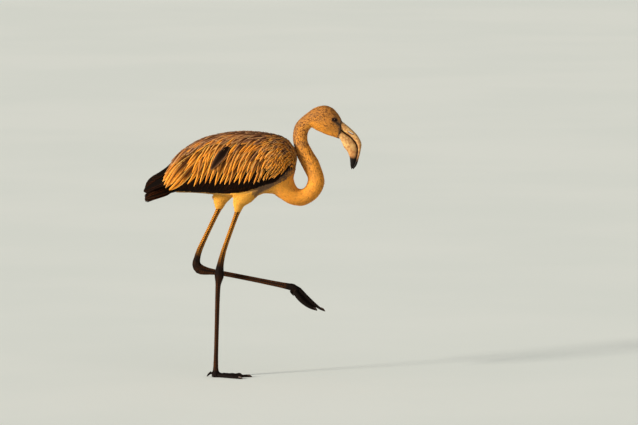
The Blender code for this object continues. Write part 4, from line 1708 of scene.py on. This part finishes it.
@dataclass
class Wings:
    """Both folded wings: primaries, secondaries, coverts, tertials and scapulars, and the back's feathers."""

    seed: int = 7
    # Each kind: length, half width, where it narrows, how fast, height of tip and root, camber, roll, stray.
    secondary: Cut = Cut(92, 9.0, 0.6, 3.0, -2.2, -5.0, 0.5, 4.0, 1.5, dark=0.99, fringe=0.16)
    covert: Cut = Cut(86, 7.8, 0.34, 1.5, 0.4, -4.0, 1.9, 9.0, 4.2, fringe=0.6)
    lesser: Cut = Cut(30, 4.2, 0.4, 2.0, 0.6, -2.6, 0.7, 4.0, 6.0, fringe=0.62)
    scapular: Cut = Cut(116, 7.4, 0.5, 2.2, 1.5, -2.4, 1.2, 6.0, 3.0, fringe=0.5)
    tertial: Cut = Cut(112, 8.6, 0.5, 2.0, 1.2, -2.6, 1.3, 7.0, 3.0, fringe=0.6)
    primary: Cut = Cut(116, 10.0, 0.62, 2.6, -1.0, -5.5, 0.4, 3.0, 0.8, dark=0.99, fringe=0.22)
    # The loose feather is dark partly in its own colour, partly as painted shadow of the gap beside it.
    loose: Cut = Cut(68, 11.0, 0.4, 1.8, 0.6, -2.4, 0.3, 2.0, 0.5, dark=0.8, fringe=0.8)
    mantle: Cut = Cut(56, 6.4, 0.45, 2.2, 1.8, -1.8, 0.7, 3.0, 4.0, fringe=0.7)
    # Where the coverts' lowest row ends: x and z.
    covert_edge: Rows = ((-130, -105, -40, 60, 100, 138, 165, 190), (482, 486, 490, 491, 492, 504, 521, 547))
    # Rows of coverts: height over the lowest, first and last x, and spacing.
    covert_rows: Rows = (
        (0.0, -112.0, 168.0, 11.4),
        (27.0, -112.0, 160.0, 11.0),
        (52.0, -98.0, 140.0, 10.4),
        (75.0, -80.0, 124.0, 9.8),
        (95.0, -52.0, 112.0, 9.0),
    )
    tertial_tips: Rows = (
        (-119.0, 470.0, 0.9),
        (-126.0, 477.0, 0.95),
        (-130.0, 484.5, 1.0),
        (-133.0, 493.0, 1.05),
        (-131.0, 502.0, 1.05),
        (-127.0, 511.0, 1.0),
        (-121.0, 520.0, 0.95),
        (-112.0, 531.0, 0.9),
    )
    primary_tips: Rows = (
        (-165.0, 459.5, 0.95),
        (-176.0, 462.5, 1.0),
        (-180.5, 468.0, 1.0),
        (-178.5, 474.5, 0.95),
        (-175.5, 481.0, 0.9),
        (-171.5, 487.0, 0.85),
        (-166.5, 492.5, 0.78),
        (-159.5, 498.0, 0.7),
        (-151.0, 504.0, 0.62),
    )
    scapular_lanes: Rows = ((9.0, 24.0), (17.0, 25.0), (26.0, 26.0), (36.0, 27.0), (47.0, 28.0))

    def build(self) -> None:
        """Builds every tract, from the deepest feathers to those on top."""
        material = VaneFinish().material("vanes")
        both = (Side.RIGHT, Side.LEFT)
        for name, make, slot, nodes in (
            ("primary_vanes", self._primaries, "flight", ("primaries",)),
            ("secondaries", self._secondaries, "flight", ("wing",)),
            ("coverts", self._coverts, "wing", ("wing",)),
            ("lesser_coverts", self._lesser, "wing", ("wing",)),
            ("scapulars", self._scapulars, "wing", ("wing",)),
        ):
            tract = Tract(name, ENVELOPE, np.random.default_rng(self.seed))
            make(tract)
            tract.build(material, both, slot, nodes)
        tract = Tract("mantle", ENVELOPE, tract.rng)
        self._mantle(tract)
        tract.build(material, (Side.LEFT,), "wing", ())
        # Painted shadow: the loose feather's dark colour also stands for the shadowed gap it lifts from.
        tract = Tract("loose_feather", ENVELOPE, tract.rng)
        t, angle = ENVELOPE.find(np.array([-12.0]), np.array([526.0]))
        tract.lay(self.loose, t, angle, fixed=50.0, raised=2.8, tone=0.0)
        tract.build(material, (Side.RIGHT,), "wing", ())

    def _primaries(self, tract: Tract) -> None:
        """The dark feathers that close the wing behind the tertials.

        Args:
            tract: The tract to fill.
        """
        x, z, size = np.array(self.primary_tips).T
        t, angle = ENVELOPE.find(x, z)
        raised = np.linspace(0.0, 1.6, len(x))
        tract.lay(self.primary, t, angle, size, fixed=4.0, raised=raised, tone=0.2)

    def _secondaries(self, tract: Tract) -> None:
        """The dark band under the coverts.

        Args:
            tract: The tract to fill.
        """
        x = np.concatenate((np.arange(-116, 140, 7.6), np.arange(141, 192, 4.6)))
        front, tip = rise(x, 85, 150), rise(x, 130, 190)
        edge = np.maximum(wing_edge(x) + 2.0, np.interp(x, (-120, -60, 20), (467.0, 464.5, 462.0)))
        size, slim, lean = 1 - 0.5 * front - 0.2 * tip, 1 - 0.15 * front - 0.4 * tip, 34.0
        t, angle = ENVELOPE.find(x, edge + 3.0 * tip)
        tract.lay(self.secondary, t, angle, size, slim, lean, 1.8 * front, 0.25)
        t, angle = ENVELOPE.find(x + 3.0, edge + 9.0)
        tract.lay(self.secondary, t, angle, 0.8 * size, slim, lean + 10, 0.6 + 0.7 * front, 0.35)
        t, angle = ENVELOPE.find(x[x > 118], edge[x > 118] + 20.0)
        tract.lay(self.secondary, t, angle, 0.3, 0.5, 44.0, 1.0, 0.35)

    def _coverts(self, tract: Tract) -> None:
        """The long narrow coverts, in staggered rows.

        Args:
            tract: The tract to fill.
        """
        rng = tract.rng
        for number, (above, first, last, spacing) in enumerate(self.covert_rows):
            x = [first + (number % 2) * spacing * 0.6]
            while x[-1] < last:
                z = np.interp(x[-1], *self.covert_edge) + above
                t, angle = ENVELOPE.find(np.array([x[-1]]), np.array([z]))
                lean = tract.lay_angle(t, angle)[0]
                x.append(x[-1] + spacing / max(math.sin(lean), 0.4))
            x = np.array(x) + rng.uniform(-0.8, 0.8, len(x))
            z = np.interp(x, *self.covert_edge) + above + rng.normal(0, 3.0, len(x))
            t, angle = ENVELOPE.find(x, z)
            front = rise(x, 80, 175)
            warm = 1.0 - 0.3 * rise(x, -60, 150) - 0.08 * number + rng.normal(0, 0.2, len(x))
            size = (1 - 0.05 * number) * (1 - 0.45 * front)
            slim = (0.84 + 0.04 * number) * (1 - 0.22 * front)
            tract.lay(self.covert, t, angle, size, slim, raised=0.1 * number + 1.2 * front, tone=warm)

    def _lesser(self, tract: Tract) -> None:
        """The small scale-like coverts of the shoulder.

        Args:
            tract: The tract to fill.
        """
        rng, spots = tract.rng, []
        for number, x in enumerate(np.arange(104, 212, 4.4)):
            spots += [(x, z) for z in np.arange(486 + (number % 2) * 5.5, 622, 11.0)]
        x, z = (np.array(spots) + rng.uniform(-1.0, 1.0, (len(spots), 2))).T
        t, angle = ENVELOPE.find(x, z)
        seen = ENVELOPE.place(t, angle)
        real = np.hypot(seen[:, 0] - x, seen[:, 2] - z) < 1.5
        inside = z > wing_edge(x) + 5.0 + 6 * (1 - rise(x, 130, 150)) - 3 * rise(x, 165, 190)
        coming = rng.random(len(x)) < 0.25 + 0.75 * rise(x, 104, 150)
        pick = real & inside & coming & (angle > 0.16)
        x, z = x[pick], z[pick]
        low = 1 - rise(z - wing_edge(x), 14.0, 54.0)
        warm = 0.5 + 0.4 * low + rng.normal(0, 0.2, len(x))
        size = 1.25 - 0.35 * rise(x, 120, 200)
        raised = 0.5 + 0.8 * rise(x, 100, 130)
        tract.lay(self.lesser, t[pick], angle[pick], size, 1 - 0.36 * low, raised=raised, tone=warm)
        t = np.arange(8.2, 11.0, 0.12)
        for turn in (5.0, 12.0, 19.0):
            angle = np.full(len(t), math.radians(turn))
            raised = 0.8 + 2.8 * rise(t, 8.8, 9.4) * (1 - rise(t, 9.9, 10.6)) * (1 - turn / 40)
            tract.lay(self.lesser, t, angle, 1 - 0.4 * rise(t, 10.0, 11.0), raised=raised, tone=0.35)

    def _scapulars(self, tract: Tract) -> None:
        """The long feathers of the upper back, and the tertials behind them.

        Args:
            tract: The tract to fill.
        """
        x, z, size = np.array(self.tertial_tips).T
        t, angle = ENVELOPE.find(x, z)
        raised, tone = np.linspace(0, 1.2, len(x)), np.linspace(0.95, 0.3, len(x))
        tract.lay(self.tertial, t, angle, size, raised=raised, tone=tone)
        for number, (turn, gap) in enumerate(self.scapular_lanes):
            x = np.arange(-112 + (number * 9.5) % gap, 128 - number * 6, gap)
            t = rib_at(x, math.radians(turn))
            angle = np.radians(turn + tract.rng.uniform(-2, 2, len(x)))
            size = np.interp(x, (-60, 40, 130), (1.0, 0.8, 0.45))
            slim, raised = 0.75 + 0.25 * size, 0.5 - 0.1 * number
            tract.lay(self.scapular, t, angle, size, slim, raised=raised, tone=0.04 * number)

    def _mantle(self, tract: Tract) -> None:
        """Feathers along the middle of the back.

        Args:
            tract: The tract to fill.
        """
        for number, turn in enumerate((-6.0, 6.0, 0.0)):
            x = np.arange(-100 + number * 6.5, 190, 19.0)
            t, angle = rib_at(x, math.radians(turn)), np.full(len(x), math.radians(turn))
            size = np.interp(x, (-60, 100, 190), (1.25, 0.9, 0.5))
            tract.lay(self.mantle, t, angle, size, fixed=-2.0 * turn / 6.0, raised=0.3 * number, tone=0.05)


@dataclass
class Tail:
    """The short tail under the wing tips."""

    seed: int = 8
    feather: Cut = Cut(80, 8.6, 0.6, 2.6, 0.0, -1.6, 0.5, 3.0, 1.0, dark=0.985, fringe=0.4)
    # The outer feathers' turns from the dorsal edge, and their sizes.
    turns: tuple[float, ...] = (176.0, 150.0, 124.0, 98.0, 74.0, 50.0, 26.0, 4.0)
    sizes: tuple[float, ...] = (0.98, 0.96, 0.97, 0.98, 1.0, 1.0, 1.0, 1.0)
    # Feathers inside the outer ones: depth, rib of their tips, and their turns.
    inner: tuple[tuple[float, float, tuple[float, ...]], ...] = (
        (2.6, 0.12, (165.0, 138.0, 112.0, 86.0, 62.0, 38.0, 14.0)),
        (5.2, 0.22, (160.0, 128.0, 100.0, 72.0, 46.0, 18.0)),
        (7.6, 0.32, (150.0, 115.0, 80.0, 45.0, 12.0)),
    )

    def build(self) -> None:
        """Lays the feathers round the tail, the middle ones on top."""
        tract = Tract("tail_feathers", TAIL, np.random.default_rng(self.seed))
        turn, size = np.array(self.turns), np.array(self.sizes)
        t = 0.05 + 0.5 * rise(turn, 90, 180)
        raised = np.linspace(-0.4, 1.0, len(turn))
        tract.lay(self.feather, t, np.radians(turn), size, fixed=0.0, raised=raised, tone=0.3)
        for depth, back, turns in self.inner:
            t, angle = np.full(len(turns), back), np.radians(np.array(turns))
            tract.lay(self.feather, t, angle, 0.9, fixed=0.0, raised=-depth, tone=0.3)
        tract.build(VaneFinish().material("tail_vanes"), (Side.RIGHT, Side.LEFT), "flight", ())
        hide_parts("tail")


# ---- bill and eyes
@dataclass
class Bill:
    """The bent bill: a deep lower half, and a lid-like upper half with an open nostril on each side."""

    upper: Rows = (
        (311.0, 643.0, 306.0, 619.0, 10.4),
        (316.5, 641.0, 313.2, 620.4, 11.9),
        (335.0, 626.0, 324.5, 612.8, 11.0),
        (352.5, 608.5, 339.5, 601.5, 10.0),
        (363.2, 588.0, 351.8, 584.5, 9.2),
        (361.6, 569.0, 354.2, 567.6, 8.0),
        (357.0, 550.0, 350.6, 548.4, 6.4),
        (352.0, 533.5, 346.0, 532.6, 4.4),
        (344.0, 522.6, 341.8, 524.6, 1.6),
    )
    lower: Rows = (
        (306.0, 619.0, 302.0, 602.0, 10.8),
        (313.0, 619.5, 309.8, 598.6, 12.2),
        (323.8, 611.9, 315.0, 588.5, 12.8),
        (338.6, 600.6, 320.0, 577.5, 12.4),
        (350.6, 584.0, 328.5, 566.5, 10.8),
        (353.0, 567.2, 333.6, 554.0, 8.4),
        (349.4, 548.0, 335.4, 541.0, 6.0),
        (344.9, 532.2, 336.2, 530.5, 3.6),
        (340.8, 524.0, 338.8, 521.6, 1.3),
    )
    nostril: tuple[float, ...] = (336.5, 614.0, 9.5, 1.5, -31.0)
    black_from: tuple[float, float] = (0.765, 0.69)
    overlap: float = 0.75
    groove: float = 0.35

    def build(self) -> None:
        """Builds both halves."""
        for name, rows, square, black in (
            ("bill_upper_horn", self.upper, 0.82, self.black_from[0]),
            ("bill_lower_horn", self.lower, 0.88, self.black_from[1]),
        ):
            upper = rows is self.upper
            piece = self._half(name, rows, square, upper)
            if upper:
                self._open_nostril(piece)
            self._mark(piece, rows, upper)
            show(piece, BillFinish().material(name, black), (name.removesuffix("_horn"),))

    def _half(self, name: str, rows: Rows, square: float, upper: bool) -> Object:
        """One half of the bill.

        Args:
            name: Its name.
            rows: Its ribs.
            square: How round its section is; less is squarer.
            upper: Whether it is the upper half.

        Returns:
            The object.
        """
        table = np.array(rows)
        lapped = self.overlap + np.linspace(-0.6, 0.6, len(table)).clip(0)
        across = unit(table[:, 0:2] - table[:, 2:4]) * lapped[:, None]
        if upper:
            table[:, 2:4] -= across
        else:
            table[:, 0:2] += across
        tube = Tube(tuple((*row, 0.0) for row in table))

        def place(along: Array, around: Array) -> Array:
            """Points with a squarer section, and a groove along each side of the upper half.

            Args:
                along: Shares of the way along.
                around: Shares of the way round.

            Returns:
                The points.
            """
            t, angle = along * (len(rows) - 1), turned(around)
            spot = tube.place(t, angle)
            row = spline(tube.rows, t)
            side = np.abs(np.sin(angle)) ** square * np.sign(np.sin(angle))
            groove = self.groove * np.exp(-(((np.abs(angle) - 1.15) / 0.12) ** 2)) * upper
            spot[:, 1] = (row[:, 4] - groove) * side
            return spot

        return settled(name, sheet(place, 120, 56))

    def _open_nostril(self, piece: Object) -> None:
        """Cuts the slit that runs right through the upper half.

        Args:
            piece: The half.
        """
        x, z, long, high, slope = self.nostril
        shape = bmesh.new()
        bmesh.ops.create_cone(shape, cap_ends=True, segments=24, radius1=1.0, radius2=1.0, depth=60.0)
        bmesh.ops.rotate(shape, verts=shape.verts, matrix=Matrix.Rotation(math.pi / 2, 3, "X"))
        bmesh.ops.scale(shape, vec=(long, 1.0, high), verts=shape.verts)
        bmesh.ops.rotate(shape, verts=shape.verts, matrix=Matrix.Rotation(math.radians(-slope), 3, "Y"))
        bmesh.ops.translate(shape, vec=(x, 0.0, z), verts=shape.verts)
        bmesh.ops.scale(shape, vec=(MM, MM, MM), verts=shape.verts)
        slit = settled("nostril_slit", shape)
        cut = piece.modifiers.new("nostril", "BOOLEAN")
        cut.operation, cut.solver, cut.object = "DIFFERENCE", "EXACT", slit
        applied(piece)
        bpy.data.objects.remove(slit)
        piece.data.set_sharp_from_angle(angle=math.radians(50))

    def _mark(self, piece: Object, rows: Rows, upper: bool) -> None:
        """Keeps how far along the bill each point is, how near the gape and how high.

        Args:
            piece: The half.
            rows: Its ribs.
            upper: Whether it is the upper half.
        """
        points = points_of(piece.data)
        shares = np.linspace(0, len(rows) - 1, 400)
        dense = spline(tuple((*row, 0.0) for row in rows), shares)
        middle = (dense[:, 0:2] + dense[:, 2:4]) / 2
        gape_line = dense[:, 2:4] if upper else dense[:, 0:2]
        flat = points[:, [0, 2]]
        near = ((flat[:, None] - middle[None]) ** 2).sum(-1).argmin(1)
        gap = np.sqrt(((flat[:, None] - gape_line[None]) ** 2).sum(-1).min(1))
        rise_line = dense[near, 0:2] - dense[near, 2:4]
        high = (rise_line * (flat - middle[near])).sum(-1) / np.maximum((rise_line**2).sum(-1), 1e-6)
        keep(piece.data, "bill", np.stack((shares[near] / (len(rows) - 1), gap / 3.0, high), -1))


@dataclass
class Eyes:
    """Both eyes, and the bare lids round them."""

    radius: float = EYE_RADIUS
    opening: tuple[float, float] = (4.5, 3.7)
    lid: float = 0.85

    def build(self) -> None:
        """Builds an eyeball and a ring of lids on each side."""
        ball_finish, lid_finish = EyeFinish().material("eye_glass"), LidFinish().material("lid_skin")
        for side in Side:
            show(self._ball(side), ball_finish, (f"eye_{side.word}",))
            show(self._lids(side), lid_finish)

    def _frame(self, side: Side) -> tuple[Array, Array, Array, Array]:
        """The eye's centre, the way it looks, and its fore and upper directions.

        Args:
            side: The side.

        Returns:
            The centre and three directions.
        """
        centre = np.array((EYE[0], EYE[1] * side.value, EYE[2]))
        gaze = unit(np.array((0.16, side.value, 0.10)))
        up = flat_on(np.array((-0.12, 0.0, 1.0)), gaze)
        fore = np.cross(up, gaze)
        return centre, gaze, fore * np.sign(fore[0]), up

    def _ball(self, side: Side) -> Object:
        """An eyeball, with how far each point is from the middle of its pupil.

        Args:
            side: The side.

        Returns:
            The eyeball.
        """
        centre, gaze, fore, up = self._frame(side)
        shape = bmesh.new()
        bmesh.ops.create_uvsphere(shape, u_segments=40, v_segments=24, radius=self.radius * MM)
        bmesh.ops.translate(shape, verts=shape.verts, vec=centre * MM)
        made = settled(f"eyeball_{side.word}", shape)
        away = (points_of(made.data) - centre) / self.radius
        front = np.arccos(np.clip(away @ gaze, -1, 1))
        turn = np.arctan2(away @ up, away @ fore)
        keep(made.data, "gaze", np.stack((front, turn, turn * 0), -1))
        return made

    def _lids(self, side: Side) -> Object:
        """A thin almond ring of skin that hugs the eyeball.

        Args:
            side: The side.

        Returns:
            The lids.
        """
        centre, gaze, fore, up = self._frame(side)
        wide, high = self.opening

        def place(along: Array, around: Array) -> Array:
            """Points on the ring.

            Args:
                along: Shares of the way along.
                around: Shares of the way round.

            Returns:
                The points.
            """
            turn, bend = along * 2 * math.pi, around * 2 * math.pi
            corner = np.abs(np.cos(turn)) ** 6
            reach = 1 + 0.14 * corner
            a, b = wide * np.cos(turn) * reach, high * np.sin(turn) * (1 - 0.1 * np.cos(turn) ** 2)
            out = np.sqrt(np.maximum(self.radius**2 - a**2 - b**2, 1.5))
            line = reached(centre, (fore, a), (up, b), (gaze, out - 0.1))
            away = unit(fore * (a / wide**2)[:, None] + up * (b / high**2)[:, None])
            thick = self.lid * np.where(np.sin(turn) > 0, 1.15, 0.9)
            ring = away * (np.cos(bend) * thick * 1.3)[:, None] + gaze * (np.sin(bend) * thick * 0.7)[:, None]
            return reached(line + ring, (away, thick * 0.7), (gaze, -0.35 * np.maximum(np.cos(bend), 0)))

        return settled(f"eyelids_{side.word}", sheet(place, 64, 16))


# ---- legs
@dataclass
class Leg:
    """A bare leg with its foot, as one scaled skin, and its claws."""

    side: Side
    line: Rows
    hock: float
    toes: Rows
    claws: Rows
    foot_centre: tuple[float, float, float]
    voxel: float = 0.8
    ring: float = 4.6
    toe_ring: float = 2.9
    relief: float = 0.34
    grown: float = 0.22
    sunk: float = 0.1
    foot_top: float = 245.0

    def build(self, finish: Material, horn: Material) -> None:
        """Builds the skin and the claws.

        Args:
            finish: The skin's finish.
            horn: The claws' finish.
        """
        word = self.side.word
        names = ("shank", "hock", "tarsus", "foot_pad", "toe_inner", "toe_middle", "toe_outer", "toe_hind")
        nodes = tuple(f"{name}_{word}" for name in (*names, "web_inner", "web_outer"))
        copies = [copied(node) for node in nodes]
        for copy in copies:
            move_points(copy.data, points_of(copy.data) + normals_of(copy.data) * self.grown)
        skin = smoothed(united(f"leg_skin_{word}", copies, self.voxel), 4)
        self._scale(skin)
        show(skin, finish, nodes)
        show(self._claws(), horn)

    def _scale(self, skin: Object) -> None:
        """Raises plates round the leg and toes, and keeps where the seams, joint and foot are.

        Args:
            skin: The leg's skin.
        """
        points, normals = points_of(skin.data), normals_of(skin.data)
        line = np.array(self.line)
        along, way, off = nearest_on(points, [line])
        toe_along, _, toe_off = nearest_on(points, [np.array(row).reshape(3, 3) for row in self.toes])
        end = sum(np.linalg.norm(b - a) for a, b in zip(line, line[1:]))
        foot = self._foot_share(points, along, end, off)
        phase = along / self.ring
        front = np.cross(way, (0.0, 1.0, 0.0))
        facing = (normals * unit(front)).sum(1)
        brick = phase + 0.5 * (facing < 0.15)
        seam = np.minimum(1.25 - 1.25 * np.abs(np.sin(math.pi * brick)) ** 1.1, 1)
        seam = np.maximum(seam, np.exp(-(((facing - 0.15) / 0.16) ** 2)) * 0.9)
        toe_seam = 1 - np.abs(np.sin(math.pi * toe_along / self.toe_ring)) ** 0.5
        upward = rise(normals[:, 2], -0.2, 0.4) if self.side is Side.RIGHT else 1.0
        foot_seam = toe_seam * (1 - rise(toe_off, 6.0, 8.0)) * upward
        joint = np.exp(-(((along - self.hock) / 30.0) ** 2)) * (1 - foot)
        groove = np.where(foot > 0.5, foot_seam * 0.8, seam * (1 - 0.55 * joint))
        floor = (points[:, 2] > 1.2) if self.side is Side.RIGHT else 1.0
        points = points - normals * (self.relief * groove * floor)[:, None] - normals * self.sunk
        points[:, 2] = np.maximum(points[:, 2], 0.0)
        move_points(skin.data, points)
        keep(skin.data, "scale", np.stack((joint, foot, groove), -1))

    def _foot_share(self, points: Array, along: Array, end: float, off: Array) -> Array:
        """How far each point belongs to the foot, from 0 to 1.

        Args:
            points: The skin's points.
            along: How far down the leg's line each one is.
            end: The line's length.
            off: How far from the line each one is.

        Returns:
            A number for each point.
        """
        if self.side is Side.RIGHT:
            foot = 1 - rise(np.abs(along - end), 6.0, 20.0)
        else:
            foot = rise(along, end - 20, end - 4)
        away = np.linalg.norm(points - self.foot_centre, axis=1)
        foot = np.maximum(foot, (away > 14) * (off > 11) * (away < 110) * 1.0)
        return np.where(points[:, 2] > self.foot_top, 0.0, foot)

    def _claws(self) -> Object:
        """The foot's claws as curved cones.

        Returns:
            The claws, as one object.
        """
        shape = bmesh.new()
        for x, y, z, tip_x, tip_y, tip_z, radius in self.claws:
            start, end = np.array((x, y, z)), np.array((tip_x, tip_y, tip_z))
            ahead = unit(end - start)
            aside = unit(np.cross(ahead, (0.0, 0.0, 1.0)))
            up = np.cross(aside, ahead)
            span = np.linalg.norm(end - start)

            def place(along: Array, around: Array) -> Array:
                """Points of one claw.

                Args:
                    along: Shares of the way along.
                    around: Shares of the way round.

                Returns:
                    The points.
                """
                turn = around * 2 * math.pi
                girth = radius * np.sqrt(np.maximum(1 - along, 0.0)) * (1 - 0.25 * along) + 0.05
                arch = 0.16 * span * np.sin(along * math.pi)
                wide, deep = girth * 0.82 * np.cos(turn), girth * np.sin(turn)
                return reached(start, (ahead, along * span), (up, arch), (aside, wide), (up, deep))

            claw = sheet(place, 14, 14)
            mesh = bpy.data.meshes.new("claw")
            claw.to_mesh(mesh)
            claw.free()
            shape.from_mesh(mesh)
            bpy.data.meshes.remove(mesh)
        for vert in shape.verts:
            vert.co.z = max(vert.co.z, 0.0)
        return settled(f"claws_{self.side.word}", shape)


def standing_leg() -> Leg:
    """The right leg, which the bird stands on.

    Returns:
        The leg.
    """
    toes, claws = [], []
    for degrees, length, root in ((34.0, 66.0, 5.6), (-2.0, 78.0, 6.2), (-37.0, 71.0, 5.8)):
        ahead = np.array((math.cos(math.radians(degrees)), math.sin(math.radians(degrees)), 0.0))
        places = [ahead * reach + (0.0, 0.0, 4.5) for reach in (6.0, length / 2, length)]
        toes.append(tuple(np.concatenate(places)))
        base, tip = ahead * (length - 2.0) + (0, 0, 3.2), ahead * (length + 12.5) + (0, 0, 0.9)
        claws.append((*base, *tip, root * 0.56))
    claws.append((-19.6, -0.2, 5.6, -23.4, -0.2, 0.9, 1.7))
    line = ((58, -33.5, 431), (50, -31, 407), (34, -24.5, 362), (19, -18, 318), (11, -13.5, 284),
            (8.0, -11.8, 253), (4.4, -9.6, 218), (2.4, -7, 150), (0.2, -2.6, 70), (-1, -0.2, 8))
    return Leg(Side.RIGHT, line, 172.0, tuple(toes), tuple(claws), (-1.0, 0.0, 8.0))


def lifted_leg() -> Leg:
    """The left leg, with its foot hanging.

    Returns:
        The leg.
    """
    toes = [(197.0, 26.0, 223.4, 222.0, 26.0, 201.8, 263.0, 26.0, 168.4)]
    claws = [(259.0, 26.0, 171.1, 273.3, 26.0, 162.4, 2.7), (189.6, 26.0, 209.0, 193.8, 26.0, 201.2, 2.4)]
    for sign in (-1, 1):
        spread = [26 + sign * reach for reach in (7.6, 10.2, 8.6)]
        toes.append((196.0, spread[0], 213.8, 220.0, spread[1], 185.8, 242.0, spread[2], 171.2))
        claws.append((240.0, 26 + sign * 8.7, 172.4, 253.3, 26 + sign * 7.6, 165.2, 2.9))
    line = ((9.5, 33.5, 433), (0.5, 32.5, 407), (-21, 31.5, 362), (-40.5, 30.5, 320), (-49, 30, 281),
            (-42, 30, 270), (-28, 29.6, 265), (12, 28.6, 259), (60, 27.5, 250), (120, 26.5, 238),
            (183, 26, 225.2))
    return Leg(Side.LEFT, line, 155.0, tuple(toes), tuple(claws), (191.0, 26.0, 222.8))


# ---- stage
@dataclass
class Stage:
    """The floor, the lights and the camera."""

    floor_half: float = 60.0
    distance: float = 20.0
    view_width: float = 1.595
    aim: Triple = (0.2575, 0.0, 0.4138)
    elevation: float = 5.0
    # Each light: name, where it comes from, strength, how wide it looks, and colour.
    lights: tuple[tuple[str, Triple, float, float, Triple], ...] = (
        ("key", (-0.80, -0.54, 0.26), 5.3, 10.0, (1.0, 0.93, 0.82)),
        ("fill", (0.5, -0.7, 0.6), 0.25, 60.0, (1.0, 0.96, 0.9)),
    )
    sky: Triple = (0.9, 0.9, 0.88)
    sky_strength: float = 0.36

    def build(self) -> None:
        """Builds it all."""
        scene = bpy.context.scene
        scene.view_settings.view_transform = "Standard"
        shape = bmesh.new()
        bmesh.ops.create_grid(shape, x_segments=4, y_segments=4, size=self.floor_half)
        floor = settled("studio_floor", shape)
        floor.data.materials.append(FloorFinish().material("studio_floor"))
        for light in self.lights:
            self._light(*light)
        world = bpy.data.worlds.new("studio")
        world.use_nodes = True
        background = world.node_tree.nodes["Background"]
        background.inputs["Color"].default_value = (*self.sky, 1.0)
        background.inputs["Strength"].default_value = self.sky_strength
        scene.world = world
        camera = bpy.data.objects.new("camera", bpy.data.cameras.new("camera"))
        scene.collection.objects.link(camera)
        tilt = math.radians(self.elevation)
        back = Vector((0.0, -math.cos(tilt), math.sin(tilt)))
        camera.location = Vector(self.aim) + back * self.distance
        camera.rotation_euler = (-back).to_track_quat("-Z", "Y").to_euler()
        camera.data.lens = camera.data.sensor_width * self.distance / self.view_width
        camera.data.clip_end = 200.0
        scene.camera = camera

    def _light(self, name: str, direction: Triple, strength: float, angle: float, colour: Triple) -> None:
        """A broad, soft light from far away.

        Args:
            name: Its name.
            direction: Where it comes from.
            strength: How strong it is.
            angle: How wide it looks, in degrees.
            colour: Its colour.
        """
        data = bpy.data.lights.new(name, "SUN")
        data.energy, data.angle, data.color = strength, math.radians(angle), colour
        light = bpy.data.objects.new(name, data)
        light.rotation_euler = Vector(direction).to_track_quat("Z", "Y").to_euler()
        bpy.context.scene.collection.objects.link(light)


def main() -> None:
    """Builds the bird and its stage."""
    logging.basicConfig(level=logging.INFO, format="%(message)s")
    Stage().build()
    flesh = Flesh()
    flesh.build()
    flesh.dress()
    coat = Coat(flesh)
    coat.scatter()
    coat.build()
    Wings().build()
    Tail().build()
    Bill().build()
    Eyes().build()
    finish, horn = LegFinish().material("leg_scales"), HornFinish().material("claw_horn")
    for leg in (standing_leg(), lifted_leg()):
        leg.build(finish, horn)


if __name__ == "__main__":
    main()
